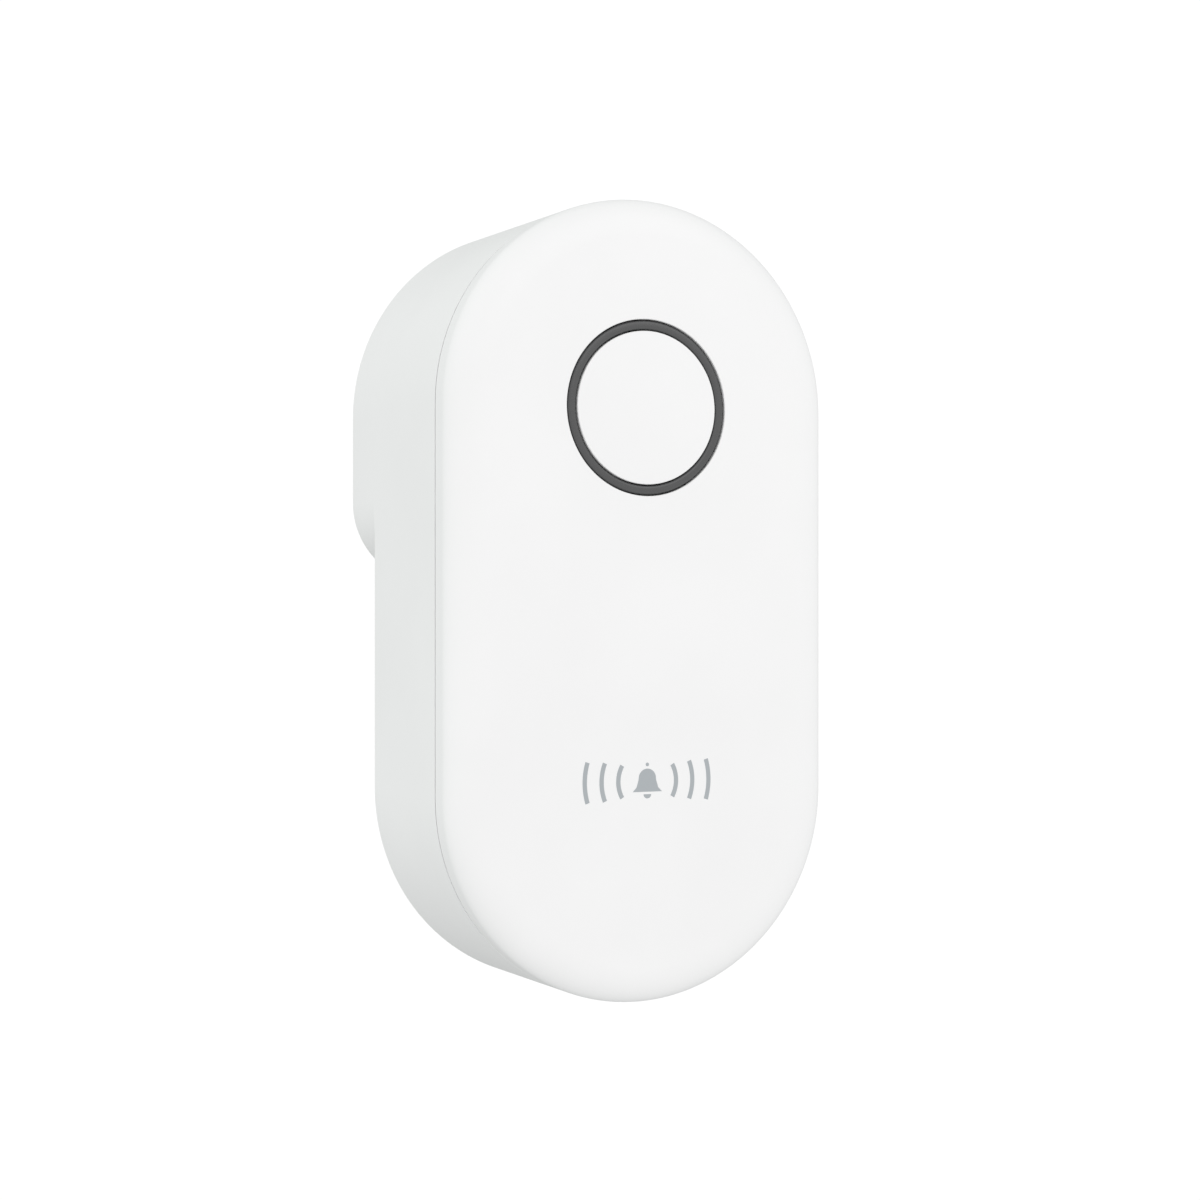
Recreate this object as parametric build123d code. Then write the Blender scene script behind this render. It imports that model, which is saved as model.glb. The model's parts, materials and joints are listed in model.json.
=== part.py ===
"""Plug-in indoor chime of a video doorbell set.

A pill-shaped body, closed by a front cover with a round button in a light ring,
carries a plug block behind its upper half.  A loudspeaker fires through a grille
behind its lower half.

Frame: the origin is in the rear face of the plug block, midway between the blades.
+Y points into the wall, +Z up and +X to the right of somebody facing the cover.
All sizes are in millimetres.
"""
from build123d import *
import os
from math import cos, sin, pi, radians, hypot

# ---------------------------------------------------------------- body
body_width = 54.8        # across the pill
body_height = 105.0      # from tip to tip
body_depth = 27.8        # front plane to the back of the lower body
cap_depth = 5.7          # front plane to the parting line
plug_step = 8.6          # the plug block stands this far behind the lower body
block_drop = 22.3        # from the middle of the blades down to the lower end of the plug block
block_corner = 10.7      # lower corners of the plug block
edge_inset = 4.9         # the front edge is a quarter ellipse: this far in
edge_drop = 3.3          # and this far back
back_edge = 0.5          # small round at the back edges
wall = 2.0               # side and back walls
front_wall = 2.0         # front wall of the cover
block_wall = 2.2         # rear wall of the plug block, round the blades
board_gap = 0.45         # circuit boards stay this far inside the walls

# ---------------------------------------------------------------- parting line
lip_wall = 1.2           # the cover's lip goes inside the rear housing
lip_gap = 0.15
lip_depth = 3.0
catch_height = 0.5       # snap catches on the lip
catch_length = 1.0
catch_back = 1.2         # from the parting line to the catch
catch_gap = 0.1
catch_angles = (40, 90, 140)
catch_span = 16          # degrees

# ---------------------------------------------------------------- button and light ring
ring_bore_r = 11.48      # opening in the cover
button_r = 9.98
ring_gap = 0.10          # ring to cover and ring to button, all round
ring_recess = 0.10       # the ring lies this far below the front plane
ring_flange_reach = 2.32 # the ring's flange reaches this far behind the cover's opening
ring_flange = 1.2        # thickness
ring_edge = 0.25         # rounds of the cover, the ring and the button at their edges
button_face = 1.8        # thickness of the button's face
button_skirt = 1.6       # radial thickness of its skirt
button_collar = 0.9      # how far its collar reaches under the ring
button_collar_wall = 0.8
button_lift = 0.05       # between the collar and the ring
button_stem_r = 2.2
button_rib = 1.0
button_travel = 0.30

# ---------------------------------------------------------------- switch under the button
switch_size = 6.0
switch_body_height = 3.2
switch_plate = 0.3
switch_height = 4.3      # board to the top of the plunger
switch_bore_r = 1.85
plunger_r = 1.78
plunger_foot_r = 2.3
plunger_foot = 0.5
dome_spare = 0.15        # room left under the dome at full travel
dome_rise = button_travel + dome_spare
dome_thickness = 0.08

# ---------------------------------------------------------------- main board
board = 1.2              # thickness of the main board
main_stand = 6.0         # cover's inside face to the main board
main_drop = 0.2          # it ends this far below the plug block's lower end
board_corner = 2.0
screw_r = 1.0            # board screws, M2
screw_length = 6.0
screw_head_r = 1.9
screw_head = 1.3
screw_hole_gap = 0.1     # screw to its hole in a board
boss_r = 2.5
pilot_r = 0.85
light_count = 6
light_size = (1.6, 0.7, 0.8)   # along the ring, height, across the ring
shroud_wall = 0.6
shroud_rim = 0.8
shroud_gap = 0.15        # button's collar to the shroud
shield_place = (-8.5, 3.5)
shield_size = (16.0, 14.0, 2.4)
shield_sheet = 0.2
antenna_size = (17.0, 3.6, 4.0)
antenna_sheet = 0.3
antenna_drop = 6.0       # from the board's top to its middle
antenna_slot = (12.0, 1.0)
reservoir_r = 3.15
reservoir_height = 4.4
header_x = -8.0          # loudspeaker connector
header_size = (8.0, 4.5, 6.0)
header_wall = 0.7
plug_gap = 0.1
plug_reach = 1.2         # the plug stands this far out of the connector
link_count = 4           # pins between the two boards
link_pitch = 2.54
link_pin = 0.64
link_gap = 0.05          # pins to the socket
link_inset = 5.1         # from the main board's side
link_rise = 17.3         # from the plug block's lower end to the middle pin
link_socket_height = 8.5

# ---------------------------------------------------------------- power board
power_board = 1.6
power_stand = 5.4        # plug block's inside face to the power board
power_gap = 0.15         # more room to the walls than the main board has
transformer_height = 11.5
transformer_foot = 1.0   # core to board
core_place = (3.0, 12.0)
core_size = (16.0, 6.0)
core_leg = 4.0
core_yoke = 2.0
bobbin_wall = 0.7
bobbin_reach = 7.0       # how much longer its cheeks are than the core is high
winding_reach = 6.0
low_row = 8.3            # lower row of parts: this far above the plug block's lower end
middle_row = 15.0        # middle row
lead_r = 0.35
bulk_r = 4.0             # electrolytic capacitors: radius and height
bulk_height = 11.3
output_r = 3.15
output_height = 11.0
fuse_r = 1.6
fuse_length = 7.0
choke_r = 3.2
choke_core_r = 2.2
choke_height = 8.0
choke_cheek = 1.2
varistor_r = 3.4
varistor_thickness = 3.2
safety_r = 3.2
safety_thickness = 3.0
rectifier_size = (4.7, 3.9, 2.4)

# ---------------------------------------------------------------- plug
blade_thickness = 1.5
blade_width = 6.35
blade_pitch = 12.7
blade_length = 17.0      # outside the rear face
blade_hole_r = 1.6
blade_hole_at = 11.7     # from the rear face
blade_tip = 2.2          # length of the tapered tip
blade_tip_corner = 0.9
blade_tip_thickness = 0.7
blade_gap = 0.06         # blade to its slot
blade_shoulder_reach = 1.525   # widened part, held by the carrier: each side's overhang
blade_shoulder_length = 2.0
blade_tail = 3.0
carrier_width = 25.0
carrier_edge = 1.8       # shoulder to the carrier's edge

# ---------------------------------------------------------------- loudspeaker
speaker_r = 18.0
speaker_clear = 1.0      # between its collar and the lowest screw column
speaker_flange = 1.4
speaker_flange_width = 2.2
frame_wall = 0.9
frame_sink = 0.8         # the basket's neck lies this far in front of the cup's top
gasket = 0.9
grille_mesh = 0.3
grille_hole_r = 0.9
grille_pitch = 3.3
skin = 0.3               # cone, surround and coil former
cone_depth = 3.4
coil_inner_r = 5.75
coil_outer_r = 6.55
coil_height = 2.9
motor_r = 8.2
motor_wall = 1.2
motor_height = 5.2
magnet_r = 5.2
magnet_height = 2.0
pole_plate_r = 5.4
pole_plate = 1.2
collar_wall = 1.0
collar_height = 3.2
collar_gap = 0.2
speaker_boss_r = 2.2
washer_head_r = 2.9
terminal_angle = 125     # where the terminal strip sits on the flange
terminal_length = 6.0
terminal_width = 1.4
terminal_board = 1.0
terminal_pitch = 3.0

# ---------------------------------------------------------------- housing screws
case_screw_r = 1.5
case_screw_length = 14.0
case_head_r = 2.7
case_head = 1.9
case_recess_r = 3.1
case_recess = 6.0        # depth of the counterbore from the back
case_boss_r = 3.0
case_pilot_r = 1.25
case_floor = 2.0
case_column = 1.1        # wall of the column round the counterbore
case_split = 7.4         # from the screw's seat to where boss and column meet
boss_gap = 0.1
wire_r = 0.6

# ---------------------------------------------------------------- levels along Y
front_y = -(body_depth + plug_step)
seam_y = front_y + cap_depth
back_y = -plug_step
cover_y = front_y + front_wall
ring_y = front_y + ring_recess
flange_y = cover_y + ring_flange
main_y = cover_y + main_stand
main_rear_y = main_y + board
wall_y = back_y - wall
block_y = -block_wall
power_y = block_y - power_stand
power_front_y = power_y - power_board
plunger_y = main_y - switch_height
sheet_y = power_front_y - transformer_height
head_y = back_y - case_recess
split_y = head_y - case_split

# ---------------------------------------------------------------- places across the body
pill_r = body_width / 2
bottom_z = pill_r - body_height
low_z = bottom_z + pill_r
block_low = -block_drop
lip_r = pill_r - wall - lip_gap
cover_r = lip_r - lip_wall
main_r = cover_r - board_gap
main_low = block_low - main_drop
power_inset = wall + board_gap + power_gap
power_r = pill_r - power_inset
blade_x = blade_pitch / 2
blade_shoulder = blade_width + 2 * blade_shoulder_reach
low_row_z = block_low + low_row
middle_row_z = block_low + middle_row
ring_flange_r = ring_bore_r + ring_flange_reach
shroud_inner_r = button_r + button_collar + shroud_gap
light_circle = (shroud_inner_r + shroud_wall + ring_flange_r - shroud_rim) / 2
column_r = case_recess_r + case_column
collar_r = speaker_r + collar_gap
speaker_z = bottom_z + wall + 2 * column_r + speaker_clear + collar_wall + collar_r
speaker_opening_r = speaker_r - speaker_flange_width
mesh_r = speaker_opening_r - 0.3
grille_rings = int((mesh_r - grille_hole_r) / grille_pitch)


def polar(radius, degrees):
    return radius * cos(radians(degrees)), radius * sin(radians(degrees))


def mirrored(x, z):
    return [(x, z), (-x, z)]


main_screws = mirrored(*polar(main_r - boss_r - 0.1, 38)) + mirrored(main_r - 6.1, main_low + 4.5)
power_screws = mirrored(*polar(power_r - 3.4, 32)) + mirrored(power_r - 5.3, block_low + 7.3)
case_screws = mirrored(pill_r - wall - 5.4, block_low - 5.7)
case_screws += [(0, bottom_z + wall + column_r)]
speaker_screw_circle = collar_r + speaker_boss_r - 0.3
speaker_screws = [(x, z + speaker_z) for x, z in (polar(speaker_screw_circle, a) for a in (90, 210, 330))]
link_x = main_r - link_inset
link_z = block_low + link_rise
link_rows = [link_z + (n - (link_count - 1) / 2) * link_pitch for n in range(link_count)]


# ================================================================ building blocks
def level(y):
    """A drawing plane at depth y: drawn right is +X and drawn up is +Z."""
    return Plane(origin=(0, y, 0), x_dir=(1, 0, 0), z_dir=(0, -1, 0))


def prism(shape, y0, y1):
    return extrude(level(y0) * shape, amount=y0 - y1)


def rod(r, x, z, y0, y1):
    return prism(Pos(x, z) * Circle(r), y0, y1)


def tube(outer, inner, x, z, y0, y1):
    return prism(Pos(x, z) * (Circle(outer) - Circle(inner)), y0, y1)


def block(w, h, x, z, y0, y1, corner=0.0):
    face = RectangleRounded(w, h, corner) if corner else Rectangle(w, h)
    return prism(Pos(x, z) * face, y0, y1)


def pill(r):
    """Pill outline round the two end centres, at radius r."""
    return Pos(0, low_z / 2) * SlotCenterToCenter(-low_z, 2 * r, rotation=90)


def arched(r, low, corner):
    """Half circle of radius r over a rectangle that ends at low with rounded corners."""
    top = Circle(r) & Pos(0, r / 2) * Rectangle(2 * r, r)
    return top + Pos(0, (corner + low) / 2) * RectangleRounded(2 * r, corner - low, corner)


def block_outline(inset):
    """Outline of the plug block, moved inwards by inset."""
    return arched(pill_r - inset, block_low + inset, block_corner - inset)


def pill_solid(r, y_flat, y_edge, inset, drop):
    """Solid pill whose edge at y_edge is a quarter ellipse."""
    way = 1 if y_edge > y_flat else -1
    start = (r - inset, y_edge)
    round_edge = EllipticalCenterArc(
        (r - inset, y_edge - way * drop), inset, drop, start_angle=0 if way > 0 else 270, arc_size=90
    )
    outline = [
        Line((0, y_flat), (0, y_edge)),
        Line((0, y_edge), start),
        round_edge,
        Line((r, y_edge - way * drop), (r, y_flat)),
        Line((r, y_flat), (0, y_flat)),
    ]
    half = make_face(Curve() + outline)
    top = revolve(half, Axis((0, 0, 0), (0, -1, 0)), 180)
    bottom = revolve(Pos(0, 0, low_z) * half, Axis((0, 0, low_z), (0, 1, 0)), 180)
    other = mirror(half, about=Plane.YZ)
    middle = extrude(half, dir=(0, 0, -1), amount=-low_z) + extrude(other, dir=(0, 0, -1), amount=-low_z)
    return top + middle + bottom


def turned(points, x, z):
    """Solid of revolution about the Y direction through (x, z), from (radius, y) points."""
    face = make_face(Polyline(*points, close=True))
    return Pos(x, 0, z) * revolve(face, Axis.Y, 360)


def round_edges(part, radius, y, r=None, x=0.0, z=0.0):
    """Rounds the edges at depth y, or only the circle of radius r round (x, z)."""
    edges = [e for e in part.edges() if abs(e.center().Y - y) < 1e-4 and e.bounding_box().size.Y < 1e-4]
    if r is not None:
        edges = [
            e for e in edges
            if e.geom_type == GeomType.CIRCLE and abs(e.radius - r) < 1e-4
            and hypot(e.arc_center.X - x, e.arc_center.Z - z) < 1e-3
        ]
    return fillet(edges, radius)


def screw(x, z, y_seat, way, r, length, head_r, head):
    """Pan-head screw: the head stands on y_seat and the shank runs towards way."""
    shank = rod(r, x, z, y_seat, y_seat + way * length)
    cap = rod(head_r, x, z, y_seat - way * head, y_seat)
    cross = Rectangle(head_r * 1.1, head_r * 0.3) + Rectangle(head_r * 0.3, head_r * 1.1)
    drive = prism(Pos(x, z) * cross, y_seat - way * head, y_seat - way * head * 0.45)
    return shank + round_edges(cap, head * 0.4, y_seat - way * head, head_r, x, z) - drive


def arc_ring(outer, inner, middle_angle, span, y0, y1):
    """Piece of a ring round the plug axis."""
    wedge_r = outer * 2
    corners = [(0, 0)]
    for a in (-span / 2, 0, span / 2):
        corners.append(polar(wedge_r, middle_angle + a))
    wedge = make_face(Polyline(*corners, close=True))
    return prism((Circle(outer) - Circle(inner)) & wedge, y0, y1)


# ================================================================ housing
def make_front_cover():
    skin_solid = pill_solid(pill_r, seam_y, front_y, edge_inset, edge_drop)
    lip = prism(pill(lip_r), seam_y, seam_y + lip_depth)
    inner_inset = edge_inset - lip_wall
    inner_drop = edge_drop - lip_wall
    hollow = pill_solid(cover_r, seam_y + lip_depth, cover_y, inner_inset, inner_drop)
    cover = skin_solid + lip - hollow
    bore = rod(ring_bore_r, 0, 0, front_y, cover_y)
    cover = cover - bore
    cover = round_edges(cover, ring_edge, front_y, ring_bore_r)
    for x, z in main_screws:
        cover += rod(boss_r, x, z, cover_y, main_y)
        cover -= rod(pilot_r, x, z, main_y - screw_length, main_y)
    for x, z in case_screws:
        cover += rod(case_boss_r, x, z, cover_y, split_y)
        cover -= rod(case_pilot_r, x, z, head_y - case_screw_length - 0.9, split_y)
    for angle in catch_angles:
        y0 = seam_y + catch_back
        catch_r = lip_r + catch_height
        cover += arc_ring(catch_r, lip_r - lip_wall / 2, angle, catch_span, y0, y0 + catch_length)
    return cover


def grille_places():
    """Holes of the grille: rings of equally spaced holes round the speaker's axis."""
    places = [(0, speaker_z)]
    for ring in range(1, grille_rings + 1):
        for n in range(6 * ring):
            x, z = polar(ring * grille_pitch, n * 60 / ring)
            places.append((x, z + speaker_z))
    return places


def make_rear_housing():
    lower = pill_solid(pill_r, seam_y, back_y, back_edge, back_edge)
    upper = round_edges(prism(block_outline(0), seam_y, 0), back_edge, 0)
    housing = lower + upper
    housing -= prism(pill(pill_r - wall), seam_y, wall_y)
    housing -= prism(block_outline(wall), wall_y - 1, block_y)
    for x in (-blade_x, blade_x):
        housing -= block(blade_thickness + 2 * blade_gap, blade_width + 2 * blade_gap, x, 0, block_y, 0)
    holes = Sketch() + [Pos(x, z) * Circle(grille_hole_r) for x, z in grille_places()]
    housing -= prism(holes, wall_y, back_y)
    for x, z in power_screws:
        housing += rod(boss_r, x, z, power_y, block_y)
        housing -= rod(pilot_r, x, z, power_y, block_y - 0.4)
    housing += tube(collar_r + collar_wall, collar_r, 0, speaker_z, wall_y - collar_height, wall_y)
    seat_y = wall_y - gasket - skin - speaker_flange
    for x, z in speaker_screws:
        post = rod(speaker_boss_r, x, z, seat_y, wall_y)
        housing += post - rod(collar_r, 0, speaker_z, seat_y, wall_y)
        housing -= rod(pilot_r, x, z, seat_y, wall_y + 0.4)
        housing -= rod(washer_head_r + 0.2, x, z, wall_y - collar_height, seat_y)
    split = split_y + boss_gap
    for x, z in case_screws:
        column = rod(column_r, x, z, head_y - case_floor, wall_y)
        column += rod(case_boss_r, x, z, split, head_y - case_floor)
        housing += column & prism(pill(pill_r - wall / 2), split, wall_y)
        housing -= rod(case_recess_r, x, z, head_y, back_y)
        housing -= rod(case_screw_r + 0.15, x, z, split, head_y)
    for angle in catch_angles:
        y0 = seam_y + catch_back - catch_gap
        housing -= arc_ring(
            lip_r + catch_height + catch_gap, lip_r - lip_wall, angle, catch_span + 1,
            y0, y0 + catch_length + 2 * catch_gap,
        )
    return housing


def make_case_screws():
    return [
        screw(x, z, head_y, -1, case_screw_r - 0.3, case_screw_length, case_head_r, case_head)
        for x, z in case_screws
    ]


# ================================================================ button and light ring
def make_light_ring():
    outer = ring_bore_r - ring_gap
    inner = button_r + ring_gap
    ring = tube(outer, inner, 0, 0, ring_y, cover_y)
    ring = round_edges(round_edges(ring, ring_edge, ring_y, outer), ring_edge, ring_y, inner)
    return ring + tube(ring_flange_r, inner, 0, 0, cover_y, flange_y)


def make_button_cap():
    face = round_edges(rod(button_r, 0, 0, front_y, front_y + button_face), ring_edge, front_y)
    face_back = front_y + button_face
    collar_y = flange_y + button_lift
    skirt_end = collar_y + button_collar_wall
    skirt = tube(button_r, button_r - button_skirt, 0, 0, face_back, skirt_end)
    collar = tube(button_r + button_collar, button_r - button_skirt, 0, 0, collar_y, skirt_end)
    stem = rod(button_stem_r, 0, 0, face_back, plunger_y)
    cap = face + skirt + collar + stem
    reach = 2 * (button_r - button_skirt / 2)
    ribs = Rectangle(reach, button_rib) + Rectangle(button_rib, reach)
    return cap + prism(ribs, face_back, face_back + (plunger_y - face_back) * 0.6)


def make_light_shroud():
    """Two walls that keep the light in a channel behind the ring, with bars between the lights."""
    channel_inner = shroud_inner_r + shroud_wall
    channel_outer = ring_flange_r - shroud_rim
    shroud = tube(channel_inner, shroud_inner_r, 0, 0, flange_y, main_y)
    shroud += tube(ring_flange_r, channel_outer, 0, 0, flange_y, main_y)
    bar = Rectangle(channel_outer - channel_inner + 0.2, 0.8)
    for n in range(light_count):
        turn = Rot(0, 0, (n + 0.5) * 360 / light_count)
        shroud += prism(turn * Pos(light_circle, 0) * bar, flange_y, main_y)
    return shroud


def make_ring_light(n):
    w, h, t = light_size
    chip = Rot(0, 0, n * 360 / light_count) * Pos(light_circle, 0) * Rectangle(t, w)
    lens = Rot(0, 0, n * 360 / light_count) * Pos(light_circle, 0) * Rectangle(t, w * 0.7)
    return prism(chip, main_y - h * 0.6, main_y) + prism(lens, main_y - h, main_y - h * 0.6)


# ================================================================ switch
def make_switch_body():
    top = main_y - switch_body_height
    body = block(switch_size, switch_size, 0, 0, top, main_y, 0.3)
    well = plunger_foot_r + 0.1
    body -= rod(well, 0, 0, top, plunger_y + switch_height - 0.6)
    for x in (-1, 1):
        for z in (-1, 1):
            leg_x = x * (switch_size / 2 + 0.6)
            body += block(1.6, 0.7, leg_x, z * 2.25, main_y - 0.3, main_y)
    return body


def make_switch_plate():
    top = main_y - switch_body_height
    plate = block(switch_size, switch_size, 0, 0, top - switch_plate, top, 0.3)
    return plate - rod(switch_bore_r, 0, 0, top - switch_plate, top)


def plunger_foot_y():
    return main_y - switch_body_height + plunger_foot + 0.02


def make_switch_plunger():
    y_end = plunger_foot_y()
    stem = round_edges(rod(plunger_r, 0, 0, plunger_y, y_end), 0.2, plunger_y)
    return stem + rod(plunger_foot_r, 0, 0, y_end - plunger_foot, y_end)


def make_switch_dome():
    base_y = plunger_foot_y() + dome_rise + dome_thickness
    r = plunger_foot_r - 0.1
    outer_r = (r * r + dome_rise * dome_rise) / (2 * dome_rise)
    cap = Pos(0, base_y - dome_rise + outer_r - dome_thickness, 0) * Sphere(outer_r)
    hollow = Pos(0, base_y - dome_rise + outer_r - dome_thickness, 0) * Sphere(outer_r - dome_thickness)
    keep = rod(r, 0, 0, base_y - dome_rise - 2 * dome_thickness, base_y - dome_thickness)
    return (cap - hollow) & keep


# ================================================================ main board
def make_main_board():
    plate = prism(arched(main_r, main_low, board_corner), main_y, main_rear_y)
    for x, z in main_screws:
        plate -= rod(screw_r + screw_hole_gap, x, z, main_y, main_rear_y)
    return plate


def make_main_screws():
    return [
        screw(x, z, main_rear_y, -1, screw_r - 0.2, screw_length, screw_head_r, screw_head)
        for x, z in main_screws
    ]


def chip(w, h, t, x, z, pins=4, y=None, lead=0.6):
    """Integrated circuit with leads on its left and right, standing on a board's rear face."""
    foot = main_rear_y if y is None else y
    way = 1 if y is None else -1
    body = block(w, h, x, z, foot + way * 0.1, foot + way * t, 0.2)
    step = h / pins
    for n in range(pins):
        zn = z - h / 2 + (n + 0.5) * step
        body += block(w + 2 * lead, step * 0.4, x, zn, foot, foot + way * (0.1 + t * 0.25))
    return body


def make_rf_shield():
    x, z = shield_place
    w, h, t = shield_size
    top = main_rear_y + t
    can = block(w, h, x, z, main_rear_y, top, 0.6)
    can -= block(w - 2 * shield_sheet, h - 2 * shield_sheet, x, z, main_rear_y, top - shield_sheet, 0.4)
    vents = Sketch()
    for dx in (-5, -2.5, 0, 2.5, 5):
        for dz in (-4, 4):
            vents += Pos(x + dx, z + dz) * Circle(0.6)
    return can - prism(vents, top - shield_sheet, top)


def make_antenna():
    """Slotted sheet above the board, with a wide ground leg and a narrow feed leg."""
    w, h, stand = antenna_size
    z = main_r - antenna_drop
    top = main_rear_y + stand
    slot_w, slot_h = antenna_slot
    blade = block(w, h, 0, z, top - antenna_sheet, top)
    blade -= block(slot_w, slot_h, 1.4, z - 0.4, top - antenna_sheet, top)
    blade += block(antenna_sheet, h, (antenna_sheet - w) / 2, z, main_rear_y, top)
    blade += block(0.8, 1.4, 3.9 - w / 2, z + 0.7 - h / 2, main_rear_y, top)
    return blade


def make_reservoir_capacitor():
    x, z = 10.5, main_low + 9.0
    top = main_rear_y + reservoir_height
    can = round_edges(rod(reservoir_r, x, z, main_rear_y + 0.6, top), 0.35, top)
    base = 2 * reservoir_r + 0.3
    return can + block(base, base, x, z, main_rear_y, main_rear_y + 0.7, 0.8)


def header_z():
    return main_low + header_size[2] / 2 + 0.3


def plug_low_z():
    return header_z() - header_size[2] / 2 - plug_reach


def plug_y():
    """Middle of the loudspeaker plug, in the connector's mouth."""
    return main_rear_y + header_size[1] / 2 + 0.2


def make_speaker_header():
    w, t, h = header_size
    shell = block(w, h, header_x, header_z(), main_rear_y, main_rear_y + t)
    mouth = Box(w - 2 * header_wall, t - 2 * header_wall, h - 1.6)
    return shell - Pos(header_x, plug_y(), header_z() - 0.8) * mouth


def make_speaker_plug():
    w, t, h = header_size
    low = plug_low_z()
    high = header_z() + h / 2 - 1.8
    slim = 2 * (header_wall + plug_gap)
    return Pos(header_x, plug_y(), (low + high) / 2) * Box(w - slim, t - slim, high - low)


def make_link_pins():
    return [block(link_pin, link_pin, link_x, z, main_rear_y + 1.2, power_y + 0.9) for z in link_rows]


def make_link_insulator():
    y = power_front_y - 2.5
    body = block(2.5, link_count * link_pitch, link_x, link_z, y, power_front_y)
    for z in link_rows:
        body -= block(link_pin + 0.06, link_pin + 0.06, link_x, z, y, power_front_y)
    return body


def make_link_socket():
    top = main_rear_y + link_socket_height
    body = block(2.6, link_count * link_pitch + 0.4, link_x, link_z, main_rear_y, top)
    hole = link_pin + 2 * link_gap
    for z in link_rows:
        body -= block(hole, hole, link_x, z, main_rear_y + 1.0, top)
    return body


def wire(points):
    """Insulated lead along straight runs joined by arcs as large as the runs allow."""
    runs = [Vector(q) - Vector(p) for p, q in zip(points, points[1:])]
    radii = []
    for before, after in zip(runs, runs[1:]):
        half_turn = radians(before.get_angle(after) / 2)
        radii.append(0.45 * min(before.length, after.length) * cos(half_turn) / sin(half_turn))
    path = FilletPolyline(*points, radius=radii)
    start = Plane(origin=path @ 0, z_dir=path % 0)
    return sweep(start * Circle(wire_r), path=path)


def make_speaker_wire(side):
    x0 = header_x + side * 1.25
    x1, z1 = terminal_place()
    x1 += side * terminal_pitch / 2 * sin(radians(terminal_angle))
    z1 -= side * terminal_pitch / 2 * cos(radians(terminal_angle))
    y1 = speaker_front_y() - terminal_board
    low = plug_low_z() - 6.0
    return wire([(x0, plug_y(), plug_low_z()), (x0, plug_y(), low), (x1, y1 - 6.0, z1), (x1, y1, z1)])


# ================================================================ power board
def make_power_board():
    plate = prism(block_outline(power_inset), power_front_y, power_y)
    for x, z in power_screws:
        plate -= rod(screw_r + screw_hole_gap, x, z, power_front_y, power_y)
    for x in (-blade_x, blade_x):
        plate -= block(blade_thickness + 0.3, blade_tail + 0.3, x, 0, power_front_y, power_y)
    for z in link_rows:
        plate -= rod(0.55, link_x, z, power_front_y, power_y)
    return plate


def make_power_screws():
    return [
        screw(x, z, power_front_y, 1, screw_r - 0.2, screw_length, screw_head_r, screw_head)
        for x, z in power_screws
    ]


def transformer_levels():
    """Front and rear of the winding window."""
    return sheet_y + core_yoke, power_front_y - transformer_foot - core_yoke


def make_transformer_core():
    x, z = core_place
    w, h = core_size
    y0, y1 = transformer_levels()
    core = block(w, h, x, z, sheet_y, power_front_y - transformer_foot)
    window = (w - core_leg) / 2 - core_yoke
    for side in (-1, 1):
        core -= block(window, h, x + side * (core_leg + window) / 2, z, y0, y1)
    return core


def make_transformer_bobbin():
    x, z = core_place
    w, h = core_size
    y0, y1 = transformer_levels()
    g = 0.05
    reach = w - 2 * core_yoke - 2 * g
    spool = block(core_leg + 2 * bobbin_wall, h + 2 * bobbin_wall, x, z, y0 + g, y1 - g)
    for a, b in ((y0 + g, y0 + g + bobbin_wall), (y1 - g - bobbin_wall, y1 - g)):
        spool += block(reach, h + bobbin_reach, x, z, a, b)
    spool += block(reach, 2.5, x, z - h / 2 - 2.2, y1 - g, power_front_y)
    spool += block(reach, 2.5, x, z + h / 2 + 2.2, y1 - g, power_front_y)
    spool -= block(core_leg + 2 * g, h + 2 * g, x, z, y0, y1)
    return spool


def make_transformer_winding():
    x, z = core_place
    w, h = core_size
    y0, y1 = transformer_levels()
    g = 0.1
    reach = w - 2 * core_yoke - 4 * g
    coil = block(reach, h + winding_reach, x, z, y0 + g + bobbin_wall, y1 - g - bobbin_wall, 1.5)
    hole = 2 * bobbin_wall + g
    return coil - block(core_leg + hole, h + hole, x, z, y0, y1)


def can_capacitor(r, height, x, z):
    """Electrolytic capacitor standing on the power board, with its crimp groove."""
    top = power_front_y - height
    can = round_edges(rod(r, x, z, top, power_front_y - 0.3), 0.4, top)
    can -= tube(r + 1, r - 0.35, x, z, power_front_y - 2.6, power_front_y - 2.0)
    return can + rod(r * 0.6, x, z, power_front_y - 0.4, power_front_y)


def axial_part(r, length, x, z):
    """Part lying on the power board, with a lead bent down at each end."""
    y = power_front_y - r - 0.6
    end = 1.4
    body = Pos(x, y, z) * Rot(0, 90, 0) * Cylinder(r - 0.2, length)
    for side in (-1, 1):
        body += Pos(x + side * (length - end) / 2, y, z) * Rot(0, 90, 0) * Cylinder(r, end)
    reach = length / 2 + 1.0
    body += Pos(x, y, z) * Rot(0, 90, 0) * Cylinder(lead_r, 2 * reach)
    for side in (-1, 1):
        body += block(0.5, 0.5, x + side * (reach - 0.3), z, y, power_front_y)
    return body


def disc_part(r, thickness, x, z):
    """Dipped disc standing on its two leads."""
    y = power_front_y - 1.5 - r
    disc = Pos(x, y, z) * Cylinder(r, thickness)
    disc = fillet(disc.edges(), thickness * 0.35)
    for side in (-1, 1):
        disc += rod(lead_r, x + side * r * 0.6, z, y, power_front_y)
    return disc


def make_line_choke():
    """Drum core with its winding groove."""
    x, z = -0.5, low_row_z
    y = power_front_y
    drum = rod(choke_r, x, z, y - choke_height, y)
    groove = tube(choke_r + 1, choke_core_r, x, z, y - choke_height + choke_cheek, y - choke_cheek)
    return drum - groove


def make_bridge_rectifier():
    x, z = -6.5, middle_row_z + 0.3
    y = power_front_y
    w, h, t = rectifier_size
    body = block(w, h, x, z, y - t, y - 0.1, 0.2)
    for side in (-1, 1):
        for row in (-1, 1):
            body += block(0.8, 6.3, x + side * 1.3, z, y - 0.3, y)
    return body


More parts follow.
